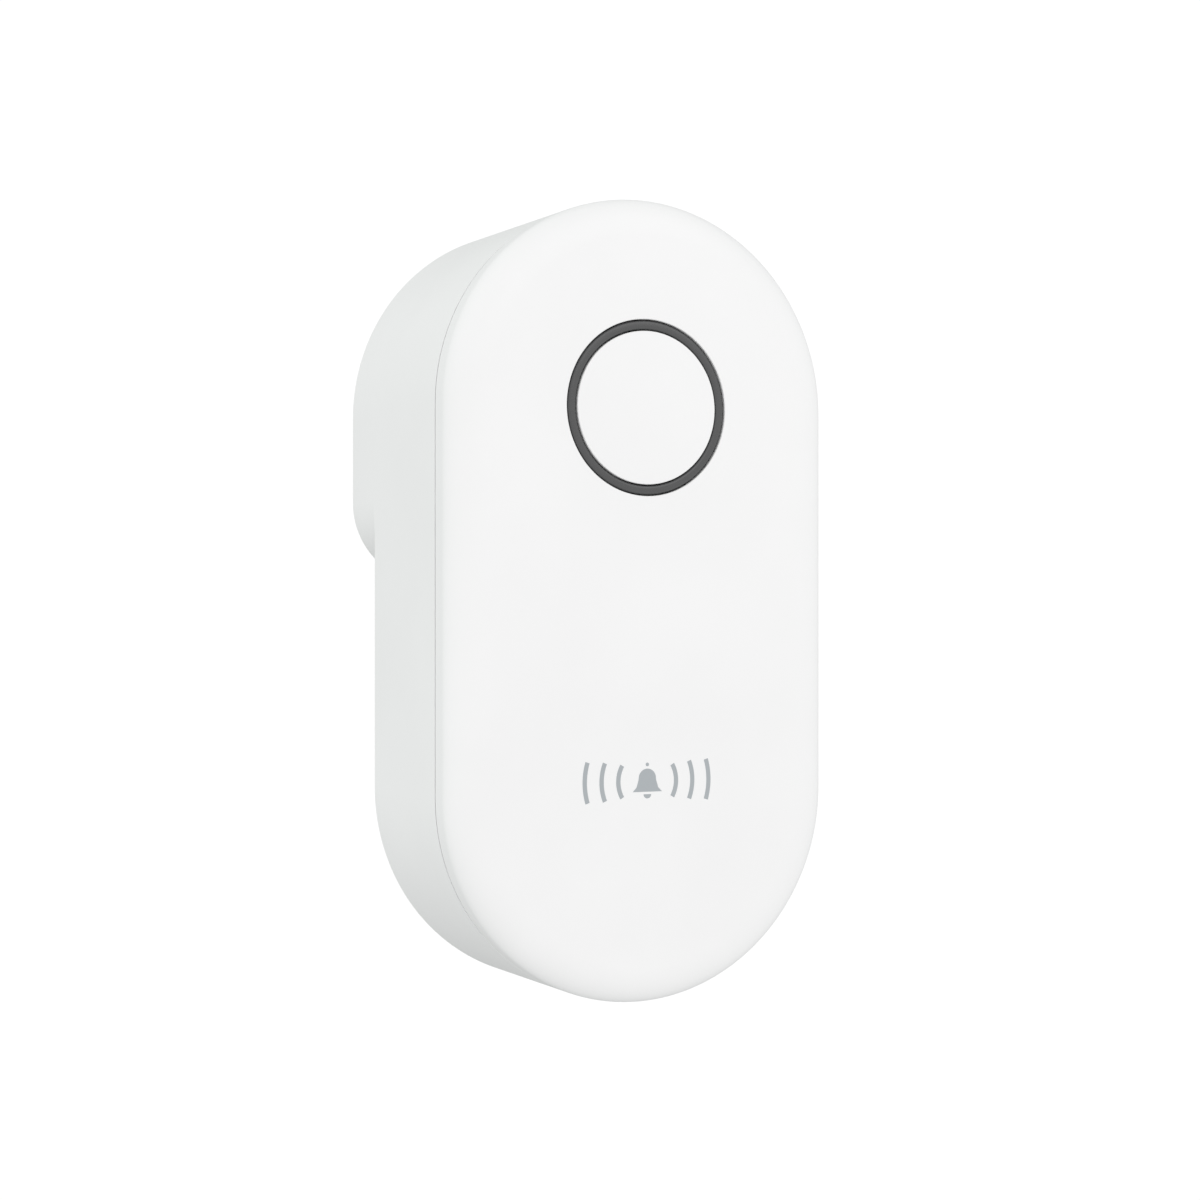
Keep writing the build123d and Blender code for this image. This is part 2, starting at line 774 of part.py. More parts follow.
def make_insulation_sheet():
    sheet = prism(arched(main_r - 2.0, block_low + 4.0, board_corner), sheet_y - 0.3, sheet_y)
    notch_x = link_x - 3.0 + pill_r / 2
    sheet -= block(pill_r, link_count * link_pitch + 3.0, notch_x, link_z, sheet_y - 0.3, sheet_y)
    return sheet


# ================================================================ plug
def make_plug_blade(side):
    """Stamped blade with a tapered tip, widened inside the housing where the carrier holds it."""
    x = side * blade_x
    half = blade_width / 2
    tip = blade_length
    bevel = tip - blade_tip
    outline = [
        (-half, block_y), (-half, bevel), (blade_tip_corner - half, tip),
        (half - blade_tip_corner, tip), (half, bevel), (half, block_y),
    ]
    side_plane = Plane(origin=(x - blade_thickness / 2, 0, 0), x_dir=(0, 0, 1), z_dir=(-1, 0, 0))
    flat = side_plane * make_face(Polyline(*outline, close=True))
    blade = extrude(flat, amount=-blade_thickness)
    half_tip = blade_tip_thickness / 2
    wedge = [(half_tip, tip), (blade_thickness, bevel), (blade_thickness, tip + 1), (half_tip, tip + 1)]
    wedge_face = make_face(Polyline(*wedge, close=True))
    for face in (wedge_face, mirror(wedge_face, about=Plane.YZ)):
        blade -= extrude(Pos(x, 0, -half - 1) * face, dir=(0, 0, 1), amount=blade_width + 2)
    blade -= Pos(x, blade_hole_at, 0) * Rot(0, 90, 0) * Cylinder(blade_hole_r, blade_thickness * 3)
    blade += block(blade_thickness, blade_shoulder, x, 0, block_y - blade_shoulder_length, block_y)
    blade += block(blade_thickness, blade_tail, x, 0, power_front_y - 0.9, block_y)
    return blade


def make_blade_carrier():
    carrier_height = blade_shoulder + 2 * carrier_edge
    body = block(carrier_width, carrier_height, 0, 0, power_y, block_y, 1.5)
    for x in (-blade_x, blade_x):
        t = blade_thickness + 2 * blade_gap
        body -= block(t, blade_shoulder + 2 * blade_gap, x, 0, block_y - blade_shoulder_length, block_y)
        body -= block(t, blade_tail + 2 * blade_gap, x, 0, power_y, block_y)
    for z in (-1, 1):
        body -= block(carrier_width - 6.0, 1.4, 0, z * (carrier_height / 2 - 1.6), power_y, power_y + 3.4)
    return body


# ================================================================ loudspeaker
def speaker_rear_y():
    """Rear face of the frame's flange, where the surround is glued."""
    return wall_y - gasket - skin


def speaker_front_y():
    return speaker_rear_y() - speaker_flange


def cone_rim_r():
    return speaker_opening_r - 3.2


def motor_top_y():
    return speaker_rear_y() - cone_depth - 1.4


def make_speaker_frame():
    """Basket: a flange, a slanted wall with six windows, and a neck that grips the motor."""
    rear = speaker_rear_y()
    front = speaker_front_y()
    inner = speaker_opening_r
    base = motor_top_y() - frame_sink
    bore = motor_r + 0.05
    neck = motor_r + 1.6
    profile = [
        (speaker_r, rear), (speaker_r, front), (inner + 0.4, front), (neck + 0.4, base),
        (bore, base), (bore, base + frame_wall), (neck, base + frame_wall),
        (inner - 0.6, front + 0.4), (inner - 0.6, rear),
    ]
    frame = turned(profile, 0, speaker_z)
    for n in range(6):
        x, z = polar((inner + neck) / 2, 30 + n * 60)
        frame -= block(5.0, 5.0, x, z + speaker_z, base - 0.5, front + 0.3, 1.0)
    return frame


def terminal_place():
    x, z = polar(speaker_r - terminal_width / 2 - 0.15, terminal_angle)
    return x, z + speaker_z


def make_speaker_terminal():
    y = speaker_front_y()
    x, z = terminal_place()
    plate = Rot(0, 0, terminal_angle - 90) * RectangleRounded(terminal_length, terminal_width, 0.3)
    return prism(Pos(x, z) * plate, y - terminal_board, y)


def make_speaker_yoke():
    """Steel cup whose rim rests on the basket's neck."""
    top = motor_top_y() + frame_wall
    rim = top - frame_sink
    low = motor_top_y() - motor_height
    cup = motor_r - motor_wall
    profile = [
        (0, low), (motor_r, low), (motor_r, rim), (motor_r + 0.9, rim),
        (motor_r + 0.9, top), (cup, top), (cup, low + motor_wall), (0, low + motor_wall),
    ]
    return turned(profile, 0, speaker_z)


def make_speaker_magnet():
    low = motor_top_y() - motor_height + motor_wall
    return rod(magnet_r, 0, speaker_z, low, low + magnet_height)


def make_speaker_pole_plate():
    low = motor_top_y() - motor_height + motor_wall + magnet_height
    return rod(pole_plate_r, 0, speaker_z, low, low + pole_plate)


def cone_neck_y():
    return speaker_rear_y() - cone_depth


def make_voice_coil():
    top = cone_neck_y()
    former = tube(coil_inner_r + skin, coil_inner_r, 0, speaker_z, top - coil_height, top)
    turns = tube(coil_outer_r, coil_inner_r, 0, speaker_z, top - coil_height, top - coil_height * 0.45)
    return former + turns


def make_speaker_cone():
    neck = cone_neck_y()
    rim = speaker_rear_y()
    r_neck = coil_inner_r
    r_rim = cone_rim_r()
    crown = neck + 1.6
    profile = [
        (0, crown), (r_neck * 0.45, crown - 0.25), (r_neck * 0.8, crown - 0.9), (r_neck, neck),
        (r_neck + skin, neck), (r_rim - 0.8, rim - skin), (r_rim, rim - skin), (r_rim, rim),
        (r_rim - 0.9, rim), (r_neck + skin, neck + skin), (r_neck * 0.8 + 0.2, crown - 0.9 + skin),
        (r_neck * 0.45, crown - 0.25 + skin), (0, crown + skin),
    ]
    return turned(profile, 0, speaker_z)


def make_speaker_surround():
    """Half-roll between the cone's rim and the frame's flange."""
    rear = speaker_rear_y()
    r0 = cone_rim_r()
    r1 = speaker_opening_r - 0.6
    middle = (r0 + r1) / 2
    roll = (r1 - r0) / 2
    steps = 8
    low = [(middle - roll * cos(pi * n / steps), rear - roll * sin(pi * n / steps)) for n in range(steps + 1)]
    high = [
        (middle - (roll - skin) * cos(pi * n / steps), rear + skin - roll * sin(pi * n / steps))
        for n in range(steps, -1, -1)
    ]
    outer = [(speaker_r - 0.3, rear), (speaker_r - 0.3, rear + skin)]
    inner = [(r0 - 0.9, rear + skin), (r0 - 0.9, rear)]
    return turned(low + outer + high + inner, 0, speaker_z)


def make_speaker_gasket():
    return tube(speaker_r - 0.1, speaker_opening_r, 0, speaker_z, wall_y - gasket, wall_y)


def make_grille_mesh():
    return rod(mesh_r, 0, speaker_z, wall_y - grille_mesh, wall_y)


def make_speaker_screws():
    seat = speaker_front_y()
    return [
        screw(x, z, seat, 1, screw_r - 0.2, speaker_flange + gasket + skin + 0.2, washer_head_r, screw_head)
        for x, z in speaker_screws
    ]


# ================================================================ all nodes
def all_parts():
    parts = {
        "front_cover": make_front_cover(),
        "rear_housing": make_rear_housing(),
        "housing_screws": make_case_screws(),
        "light_ring": make_light_ring(),
        "button_cap": make_button_cap(),
        "light_shroud": make_light_shroud(),
        "switch_body": make_switch_body(),
        "switch_plate": make_switch_plate(),
        "switch_plunger": make_switch_plunger(),
        "switch_dome": make_switch_dome(),
        "main_board": make_main_board(),
        "main_board_screws": make_main_screws(),
        "radio_shield": make_rf_shield(),
        "radio_chip": chip(6.0, 6.0, 0.9, shield_place[0] - 1.0, shield_place[1] + 1.0, 8, lead=0.3),
        "memory_chip": chip(4.0, 5.0, 1.4, 5.0, 3.0),
        "amplifier_chip": chip(4.0, 5.0, 1.4, 2.0, main_low + 9.0),
        "antenna": make_antenna(),
        "reservoir_capacitor": make_reservoir_capacitor(),
        "speaker_header": make_speaker_header(),
        "speaker_plug": make_speaker_plug(),
        "speaker_wire_red": make_speaker_wire(-1),
        "speaker_wire_black": make_speaker_wire(1),
        "link_pins": make_link_pins(),
        "link_insulator": make_link_insulator(),
        "link_socket": make_link_socket(),
        "power_board": make_power_board(),
        "power_board_screws": make_power_screws(),
        "transformer_core": make_transformer_core(),
        "transformer_bobbin": make_transformer_bobbin(),
        "transformer_winding": make_transformer_winding(),
        "bulk_capacitor_1": can_capacitor(bulk_r, bulk_height, -12.5, 5.5),
        "bulk_capacitor_2": can_capacitor(bulk_r, bulk_height, -14.5, middle_row_z + 2.3),
        "output_capacitor": can_capacitor(output_r, output_height, 15.2, 5.2),
        "fuse_resistor": axial_part(fuse_r, fuse_length, -9.5, low_row_z),
        "line_choke": make_line_choke(),
        "varistor": disc_part(varistor_r, varistor_thickness, 8.0, low_row_z),
        "safety_capacitor": disc_part(safety_r, safety_thickness, 11.5, middle_row_z - 0.2),
        "bridge_rectifier": make_bridge_rectifier(),
        "power_controller_chip": chip(4.0, 5.0, 1.4, 1.0, middle_row_z + 0.8, y=power_front_y),
        "insulation_sheet": make_insulation_sheet(),
        "plug_blade_left": make_plug_blade(-1),
        "plug_blade_right": make_plug_blade(1),
        "blade_carrier": make_blade_carrier(),
        "speaker_frame": make_speaker_frame(),
        "speaker_terminal": make_speaker_terminal(),
        "speaker_yoke": make_speaker_yoke(),
        "speaker_magnet": make_speaker_magnet(),
        "speaker_pole_plate": make_speaker_pole_plate(),
        "voice_coil": make_voice_coil(),
        "speaker_cone": make_speaker_cone(),
        "speaker_surround": make_speaker_surround(),
        "speaker_gasket": make_speaker_gasket(),
        "grille_mesh": make_grille_mesh(),
        "speaker_screws": make_speaker_screws(),
    }
    for n in range(light_count):
        parts[f"ring_light_{n + 1}"] = make_ring_light(n)
    return parts


os.makedirs("parts", exist_ok=True)
for name, made in all_parts().items():
    solids = made if isinstance(made, list) else made.solids()
    shape = solids[0] if len(solids) == 1 else Compound(children=list(solids))
    shape.label = name
    export_step(shape, f"parts/{name}.step")
    print(name, len(solids), round(sum(s.volume for s in solids), 2))
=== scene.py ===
"""Looks of the plug-in doorbell chime: the housing, button, ring and plug as detailed meshes,
procedural materials for every piece, white studio surroundings and the camera."""
import bmesh
import bpy
import json
from math import atan2, cos, degrees, hypot, pi, radians, sin
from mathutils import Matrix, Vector, geometry


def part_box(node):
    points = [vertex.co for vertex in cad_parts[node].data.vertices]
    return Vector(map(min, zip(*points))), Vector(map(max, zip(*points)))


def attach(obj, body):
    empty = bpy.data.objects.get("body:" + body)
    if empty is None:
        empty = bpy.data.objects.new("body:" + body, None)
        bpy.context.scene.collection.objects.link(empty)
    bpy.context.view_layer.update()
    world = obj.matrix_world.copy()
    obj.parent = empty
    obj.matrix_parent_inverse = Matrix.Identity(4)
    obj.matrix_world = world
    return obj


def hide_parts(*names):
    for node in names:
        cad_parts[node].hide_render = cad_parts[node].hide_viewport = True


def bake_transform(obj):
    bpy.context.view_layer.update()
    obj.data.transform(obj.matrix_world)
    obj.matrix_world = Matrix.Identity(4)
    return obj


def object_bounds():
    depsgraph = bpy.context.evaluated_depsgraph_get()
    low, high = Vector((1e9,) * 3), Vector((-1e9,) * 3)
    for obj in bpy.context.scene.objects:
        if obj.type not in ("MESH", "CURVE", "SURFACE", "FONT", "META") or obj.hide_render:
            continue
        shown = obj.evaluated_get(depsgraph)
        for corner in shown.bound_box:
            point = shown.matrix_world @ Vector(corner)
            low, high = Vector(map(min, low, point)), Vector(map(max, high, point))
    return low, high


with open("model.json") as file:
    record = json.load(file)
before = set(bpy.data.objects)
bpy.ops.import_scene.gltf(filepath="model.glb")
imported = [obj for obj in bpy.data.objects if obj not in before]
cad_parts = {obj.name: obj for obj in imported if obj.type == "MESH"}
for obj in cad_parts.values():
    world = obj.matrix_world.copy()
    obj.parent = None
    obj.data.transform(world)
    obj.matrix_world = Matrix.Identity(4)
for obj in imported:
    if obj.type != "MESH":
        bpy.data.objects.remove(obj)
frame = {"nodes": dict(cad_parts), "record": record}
cad_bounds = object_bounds()

MM = 0.001

# ---------------------------------------------------------------- places read from the frame
cover_lo, cover_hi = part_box("front_cover")
housing_lo, housing_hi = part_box("rear_housing")
button_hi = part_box("button_cap")[1]
ring_lo, ring_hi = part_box("light_ring")
mesh_lo, mesh_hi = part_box("grille_mesh")
blade_lo, blade_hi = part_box("plug_blade_right")
power_board_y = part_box("power_board")[1].y
main_board_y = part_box("main_board")[0].y
stem_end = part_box("switch_plunger")[0].y
speaker_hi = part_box("speaker_frame")[1]
dome_lo, dome_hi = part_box("switch_dome")
cone_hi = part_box("speaker_cone")[1]
surround_lo, surround_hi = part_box("speaker_surround")

pill_r = cover_hi.x
top_z = cover_hi.z
low_z = cover_lo.z + pill_r            # centre of the bottom half circle
front_y = cover_lo.y
seam_y = housing_lo.y
wall_y = mesh_hi.y                     # inside of the lower back wall
block_y = housing_hi.y                 # rear face of the plug block
speaker_z = (mesh_lo.z + mesh_hi.z) / 2

# ---------------------------------------------------------------- sizes of the shells
wall = 2.0 * MM
front_wall = 2.0 * MM
block_wall = 2.2 * MM
back_y = wall_y + wall
edge_inset = 4.9 * MM                  # front edge: a quarter ellipse
edge_drop = 3.3 * MM
back_edge = 0.5 * MM
block_low = top_z - 49.7 * MM
block_corner = 10.7 * MM
corner_z = block_low + block_corner    # the block's lower corners begin here
lip_wall = 1.2 * MM
lip_r = pill_r - wall - 0.15 * MM
cover_r = lip_r - lip_wall
lip_end_y = seam_y + 3.0 * MM
cover_y = front_y + front_wall
seam_gap = 0.22 * MM                   # open line between cover and housing
seam_edge = 0.05 * MM                  # rounds on both sides of it
seam_undercut = 0.35 * MM              # the housing's land falls away inwards by this much
seam_land = 0.8 * MM                   # over this width
ring_bore_r = 11.48 * MM
ring_edge = 0.15 * MM                  # of the cover and the button next to the ring
lens_edge = 0.35 * MM
button_r = 9.98 * MM
ring_gap = 0.14 * MM
grille_hole_r = 0.9 * MM
grille_edge = 0.15 * MM
grille_pitch = 3.3 * MM
grille_rings = 4
recess_r = 3.1 * MM
recess_depth = 6.0 * MM
recess_edge = 0.25 * MM
case_hole_r = 1.65 * MM                # clearance hole under the screw's head
case_floor = 2.0 * MM
column_r = recess_r + 1.0 * MM
case_boss_r = 3.0 * MM
case_pilot_r = 1.25 * MM
split_y = back_y - recess_depth - 7.4 * MM   # where the cover's bosses meet the housing's columns
board_boss_r = 2.5 * MM
board_pilot_r = 0.85 * MM
speaker_post_r = 2.2 * MM
collar_gap = 0.2 * MM                  # loudspeaker to the collar round it
collar_wall = 1.0 * MM
collar_height = 3.2 * MM
catch_angles = (40, 90, 140)
catch_span = 16                        # degrees
POCKET_SPARE = 2                       # degrees
catch_reach = 0.5 * MM
catch_y = seam_y + 1.2 * MM
catch_length = 1.0 * MM
catch_gap = 0.1 * MM
catch_room = 0.05 * MM                 # a catch stands off the floor of its pocket by this much
button_face = 1.8 * MM                 # thickness of the button's face
button_skirt = 1.6 * MM
button_collar = 0.8 * MM
button_stem_r = 2.2 * MM
button_rib = 0.5 * MM                  # half the thickness of its cross of ribs
rib_inset = 0.8 * MM
rib_share = 0.6                        # of the stem's length
blade_width = 6.35 * MM
blade_taper = 2.2 * MM                 # length of the coined tip
blade_corner = 0.9 * MM
blade_roll = 0.18 * MM                 # rounds along the blade's edges
blade_thinning = 0.53                  # share of the thickness lost at the very tip
blade_shoulder = 4.7 * MM              # half width inside the body
shoulder_depth = 2.0 * MM
blade_tail = 1.5 * MM                  # half width of the soldered end
blade_hole_r = 1.6 * MM
blade_hole_y = 11.7 * MM
hole_margin = 0.3 * MM
slot_corner = 0.2 * MM
dome_thickness = 0.08 * MM
surround_land = 0.9 * MM               # glued to the back of the cone's rim over this width
mark_proud = 0.01 * MM
slot_gap = 0.06 * MM
slot_edge = 0.25 * MM
sink = 0.1 * MM                        # bosses start this far inside the wall they stand on

CIRCLE_STEPS = 192                     # round the button, the ring and the cover's opening
INNER_STEPS = 8                        # inside the cover's rounded edge
HOLE_STEPS = 64
COLLAR_STEPS = 128
MOUTH_STEPS = 4
ARC_STEPS = 96                         # along each half circle of the pill
SIDE_STEPS = 24                        # along each straight side
LEDGE_SHARE = 0.6                      # of the room beside the block that the ledge's round may take
CORNER_STEPS = 24
TRACK_PITCH = 0.9 * MM
GLASS_PITCH = 0.5 * MM                 # of the weave inside a circuit board
TRACK_PATCH = 6.0 * MM                 # size of a patch of parallel tracks
BARE_SHARE = 0.35                      # of the patches that have no tracks
WAVE_PITCH = 0.314                     # a wave texture's scale times its pitch in metres
WHITE_OUT = 1.05                       # backdrop and floor, just past full white
SOFTBOX_SIZE = 0.3
SOFTBOX_POWER = 0.17                   # watts
SOFTBOX_PLACE = (0.10, -0.32, 0.20)
FLOOR_GAP = 0.5 * MM                   # below the lowest point of the part
FLOOR_SIZE = 4.0                       # half its width
EDGE_STEPS = 20
DOME_STEPS = 12
ROLL_STEPS = 12
SECTORS = 12                           # the surround's sectors and the steps round each
SECTOR_STEPS = 8
ROUND_STEPS = 5


# ================================================================ mesh building
class Skin:
    """Collects loops of points and the faces between them, then makes one mesh piece."""

    def __init__(self):
        self.points = []
        self.faces = []

    def loop(self, outline, y):
        """Adds a loop of (x, z) points at depth y, or at one depth per point."""
        depths = y if hasattr(y, "__len__") else [y] * len(outline)
        first = len(self.points)
        self.points += [(x, d, z) for (x, z), d in zip(outline, depths)]
        return list(range(first, len(self.points)))

    def strip(self, a, b, closed=True):
        """Faces between two loops with the same count. Ends that share a point make triangles."""
        count = len(a)
        for n in range(count if closed else count - 1):
            m = (n + 1) % count
            corners = [a[n], a[m], b[m], b[n]]
            corners = [c for i, c in enumerate(corners) if c not in corners[:i]]
            if len(corners) > 2:
                self.faces.append(corners)

    def strips(self, loops, closed=True):
        for a, b in zip(loops, loops[1:]):
            self.strip(a, b, closed)

    def fill(self, outer, holes=(), lines=()):
        """Flat face at one depth between an outer loop and the loops of its holes."""
        ids = list(outer) + [i for h in holes for i in h]
        flat = [Vector((self.points[i][0], self.points[i][2])) / MM for i in ids]
        place = {i: n for n, i in enumerate(ids)}
        rings = [list(outer)] + [list(h) for h in holes]
        edges = [(place[r[n]], place[r[(n + 1) % len(r)]]) for r in rings for n in range(len(r))]
        edges += [(place[a], place[b]) for a, b in lines]
        result = geometry.delaunay_2d_cdt(flat, edges, [], 0, 1e-7)
        verts, triangles, origins = result[0], result[2], result[3]
        outline = [flat[place[i]] for i in outer]
        inner = [[flat[place[i]] for i in h] for h in holes]
        for triangle in triangles:
            middle = sum((verts[i] for i in triangle), Vector((0, 0))) / 3
            if inside(middle, outline) and not any(inside(middle, h) for h in inner):
                self.faces.append([ids[origins[i][0]] for i in triangle])

    def piece(self, name, sharp=35):
        mesh = bpy.data.meshes.new(name)
        mesh.from_pydata(self.points, [], self.faces)
        mesh.validate()
        return finish_mesh(mesh, name, sharp)


def inside(point, outline):
    found = False
    for n, a in enumerate(outline):
        b = outline[n - 1]
        if (a.y > point.y) != (b.y > point.y):
            if point.x < (b.x - a.x) * (point.y - a.y) / (b.y - a.y) + a.x:
                found = not found
    return found


def finish_mesh(mesh, name, sharp):
    """Outward normals, smooth shading with sharp edges, and normals weighted by face area."""
    bm = bmesh.new()
    bm.from_mesh(mesh)
    bmesh.ops.remove_doubles(bm, verts=bm.verts, dist=1e-7)
    bmesh.ops.dissolve_degenerate(bm, dist=1e-8, edges=bm.edges)
    bmesh.ops.recalc_face_normals(bm, faces=bm.faces)
    bm.to_mesh(mesh)
    bm.free()
    mesh.polygons.foreach_set("use_smooth", [True] * len(mesh.polygons))
    mesh.set_sharp_from_angle(angle=radians(sharp))
    piece = bpy.data.objects.new(name, mesh)
    bpy.context.scene.collection.objects.link(piece)
    weighted = piece.modifiers.new("normals", "WEIGHTED_NORMAL")
    weighted.keep_sharp = True
    weighted.weight = 100
    return piece


def arc(cx, cz, r, start, end, steps, last=True):
    """Points on an arc, angles in degrees."""
    count = steps + 1 if last else steps
    angles = [radians(start + (end - start) * n / steps) for n in range(count)]
    return [(cx + r * cos(a), cz + r * sin(a)) for a in angles]


def straight(a, b, steps, last=True):
    count = steps + 1 if last else steps
    return [(a[0] + (b[0] - a[0]) * n / steps, a[1] + (b[1] - a[1]) * n / steps) for n in range(count)]


def upper_path(r):
    """Right side from corner_z up, over the top half circle and down to corner_z on the left."""
    right = straight((r, corner_z), (r, 0), SIDE_STEPS // 4, False)
    left = straight((-r, 0), (-r, corner_z), SIDE_STEPS // 4)
    return right + arc(0, 0, r, 0, 180, ARC_STEPS, False) + left


def lower_path(r):
    """From below corner_z on the left, round the bottom half circle, to below it on the right.
    The points of the straight sides lie closer together towards corner_z."""
    heights = [corner_z + (low_z - corner_z) * (n / SIDE_STEPS) ** 2 for n in range(1, SIDE_STEPS)]
    left = [(-r, z) for z in heights]
    right = [(r, z) for z in reversed(heights)]
    return left + arc(0, low_z, r, 180, 360, ARC_STEPS) + right


def block_path(inset):
    """The block's lower end, from below corner_z on the left to below it on the right."""
    r = pill_r - inset
    c = block_corner - inset
    x = pill_r - block_corner
    left = arc(-x, corner_z, c, 180, 270, CORNER_STEPS, False)[1:]
    base = straight((-x, corner_z - c), (x, corner_z - c), SIDE_STEPS, False)
    right = arc(x, corner_z, c, 270, 360, CORNER_STEPS, False)
    return left + base + right


def pill(r):
    return upper_path(r) + lower_path(r)


def block_outline(inset):
    return upper_path(pill_r - inset) + block_path(inset)


def circle(x, z, r, steps=48):
    return arc(x, z, r, 0, 360, steps, False)


def rounded_box(x, z, w, h, r, steps=6):
    corners = ((1, 1, 0), (-1, 1, 90), (-1, -1, 180), (1, -1, 270))
    points = []
    for sx, sz, a in corners:
        points += arc(x + sx * (w / 2 - r), z + sz * (h / 2 - r), r, a, a + 90, steps)
    return points


def quarter(steps):
    """(share along, share across) of a quarter round, from its start to its end."""
    return [(sin(pi / 2 * n / steps), 1 - cos(pi / 2 * n / steps)) for n in range(steps + 1)]


def spin(skin, profile, steps=CIRCLE_STEPS):
    """Solid of revolution about the Y axis from a closed list of (radius, y)."""
    loops = []
    for r, y in profile:
        if r < 1e-7:
            loops.append(skin.loop([(0, 0)], y) * steps)
        else:
            loops.append(skin.loop(circle(0, 0, r, steps), y))
    skin.strips(loops)
    if profile[0][0] > 1e-7:
        skin.strip(loops[-1], loops[0])


def tube(skin, x, z, outer, inner, y0, y1, steps=48):
    """Closed tube along Y, added to a skin."""
    a = skin.loop(circle(x, z, outer, steps), y0)
    b = skin.loop(circle(x, z, outer, steps), y1)
    c = skin.loop(circle(x, z, inner, steps), y0)
    d = skin.loop(circle(x, z, inner, steps), y1)
    skin.strip(a, b)
    skin.strip(c, d)
    skin.strip(a, c)
    skin.strip(b, d)


def plate(skin, points, y0, y1):
    """Flat patch between two depths, with its outline as given."""
    a = skin.loop(points, y0)
    b = skin.loop(points, y1)
    skin.strip(a, b)
    skin.fill(a)
    skin.fill(b)


# ================================================================ housing pieces
def solid_places(node, reach=6 * MM):
    """(x, z) middles of the separate solids of a CAD node, which stand further apart than reach."""
    groups = []
    for vertex in frame["nodes"][node].data.vertices:
        x, z = vertex.co.x, vertex.co.z
        for group in groups:
            if hypot(x - group[0][0], z - group[0][1]) < reach:
                group.append((x, z))
                break
        else:
            groups.append([(x, z)])
    middles = []
    for group in groups:
        xs = [point[0] for point in group]
        zs = [point[1] for point in group]
        middles.append(((min(xs) + max(xs)) / 2, (min(zs) + max(zs)) / 2))
    return sorted(middles)


case_screws = solid_places("housing_screws")
main_screws = solid_places("main_board_screws")
power_screws = solid_places("power_board_screws")
speaker_screws = solid_places("speaker_screws")


def with_catches(outline, reach, span):
    """A pill outline moved outwards by reach in the snap catches' stretches of the top half circle."""
    moved = []
    for x, z in outline:
        r = hypot(x, z)
        angle = degrees(atan2(z, x))
        caught = z > 0 and any(abs(angle - middle) < span / 2 for middle in catch_angles)
        share = 1 + reach / r if caught else 1
        moved.append((x * share, z * share))
    return moved


def make_front_cover():
    skin = Skin()
    edge_y = seam_y - seam_gap
    rounds = quarter(ROUND_STEPS)
    loops = [skin.loop(pill(lip_r), edge_y)]
    for along, across in rounds:
        r = pill_r - seam_edge * (1 - along)
        loops.append(skin.loop(pill(r), edge_y - seam_edge * across))
    for n in range(EDGE_STEPS + 1):
        a = pi / 2 * n / EDGE_STEPS
        r = pill_r - edge_inset * (1 - cos(a))
        loops.append(skin.loop(pill(r), front_y + edge_drop * (1 - sin(a))))
    skin.strips(loops)
    bore = []
    for along, across in rounds:
        r = ring_bore_r + ring_edge * (1 - along)
        bore.append(skin.loop(circle(0, 0, r, CIRCLE_STEPS), front_y + ring_edge * across))
    bore.append(skin.loop(circle(0, 0, ring_bore_r, CIRCLE_STEPS), cover_y))
    skin.fill(loops[-1], [bore[0]])
    skin.strips(bore)
    inner_inset = edge_inset - lip_wall
    inner_drop = edge_drop - lip_wall
    lip = pill(lip_r)
    catches = with_catches(lip, catch_reach, catch_span)
    catch_end = catch_y + catch_length
    inner = [loops[0]]
    steps = ((lip, catch_y), (catches, catch_y), (catches, catch_end), (lip, catch_end))
    inner += [skin.loop(*step) for step in steps]
    inner += [skin.loop(lip, lip_end_y), skin.loop(pill(cover_r), lip_end_y)]
    for n in range(INNER_STEPS + 1):
        a = pi / 2 * n / INNER_STEPS
        r = cover_r - inner_inset * (1 - cos(a))
        inner.append(skin.loop(pill(r), cover_y + inner_drop * (1 - sin(a))))
    skin.strips(inner)
    skin.fill(inner[-1], [bore[-1]])
    for x, z in case_screws:
        tube(skin, x, z, case_boss_r, case_pilot_r, cover_y - sink, split_y)
    for x, z in main_screws:
        tube(skin, x, z, board_boss_r, board_pilot_r, cover_y - sink, main_board_y)
    return skin.piece("front_cover_shell")


def grille_places():
    places = [(0.0, speaker_z)]
    for ring in range(1, grille_rings + 1):
        for n in range(6 * ring):
            a = radians(n * 60 / ring)
            places.append((ring * grille_pitch * cos(a), speaker_z + ring * grille_pitch * sin(a)))
    return places


def drilled(skin, x, z, r, edge, y_outside, y_inside, steps=32):
    """Round hole with a rounded mouth. Returns the loops in its outer and inner faces."""
    loops = []
    for along, across in quarter(MOUTH_STEPS):
        loops.append(skin.loop(circle(x, z, r + edge * (1 - along), steps), y_outside - edge * across))
    loops.append(skin.loop(circle(x, z, r, steps), y_inside))
    skin.strips(loops)
    return loops[0], loops[-1]


def make_screw_column(skin, x, z):
    """Counterbore, clearance hole and the column round them. Returns the loops in the two wall faces."""
    seat_y = back_y - recess_depth
    nose_y = seat_y - case_floor
    end_y = split_y + catch_gap
    mouth, floor = drilled(skin, x, z, recess_r, recess_edge, back_y, seat_y, HOLE_STEPS)
    hole = [skin.loop(circle(x, z, case_hole_r, HOLE_STEPS), y) for y in (seat_y, end_y)]
    column = [skin.loop(circle(x, z, column_r, HOLE_STEPS), y) for y in (wall_y, nose_y)]
    nose = [skin.loop(circle(x, z, case_boss_r, HOLE_STEPS), y) for y in (nose_y, end_y)]
    skin.strips([floor, hole[0], hole[1], nose[1], nose[0], column[1], column[0]])
    return mouth, column[0]


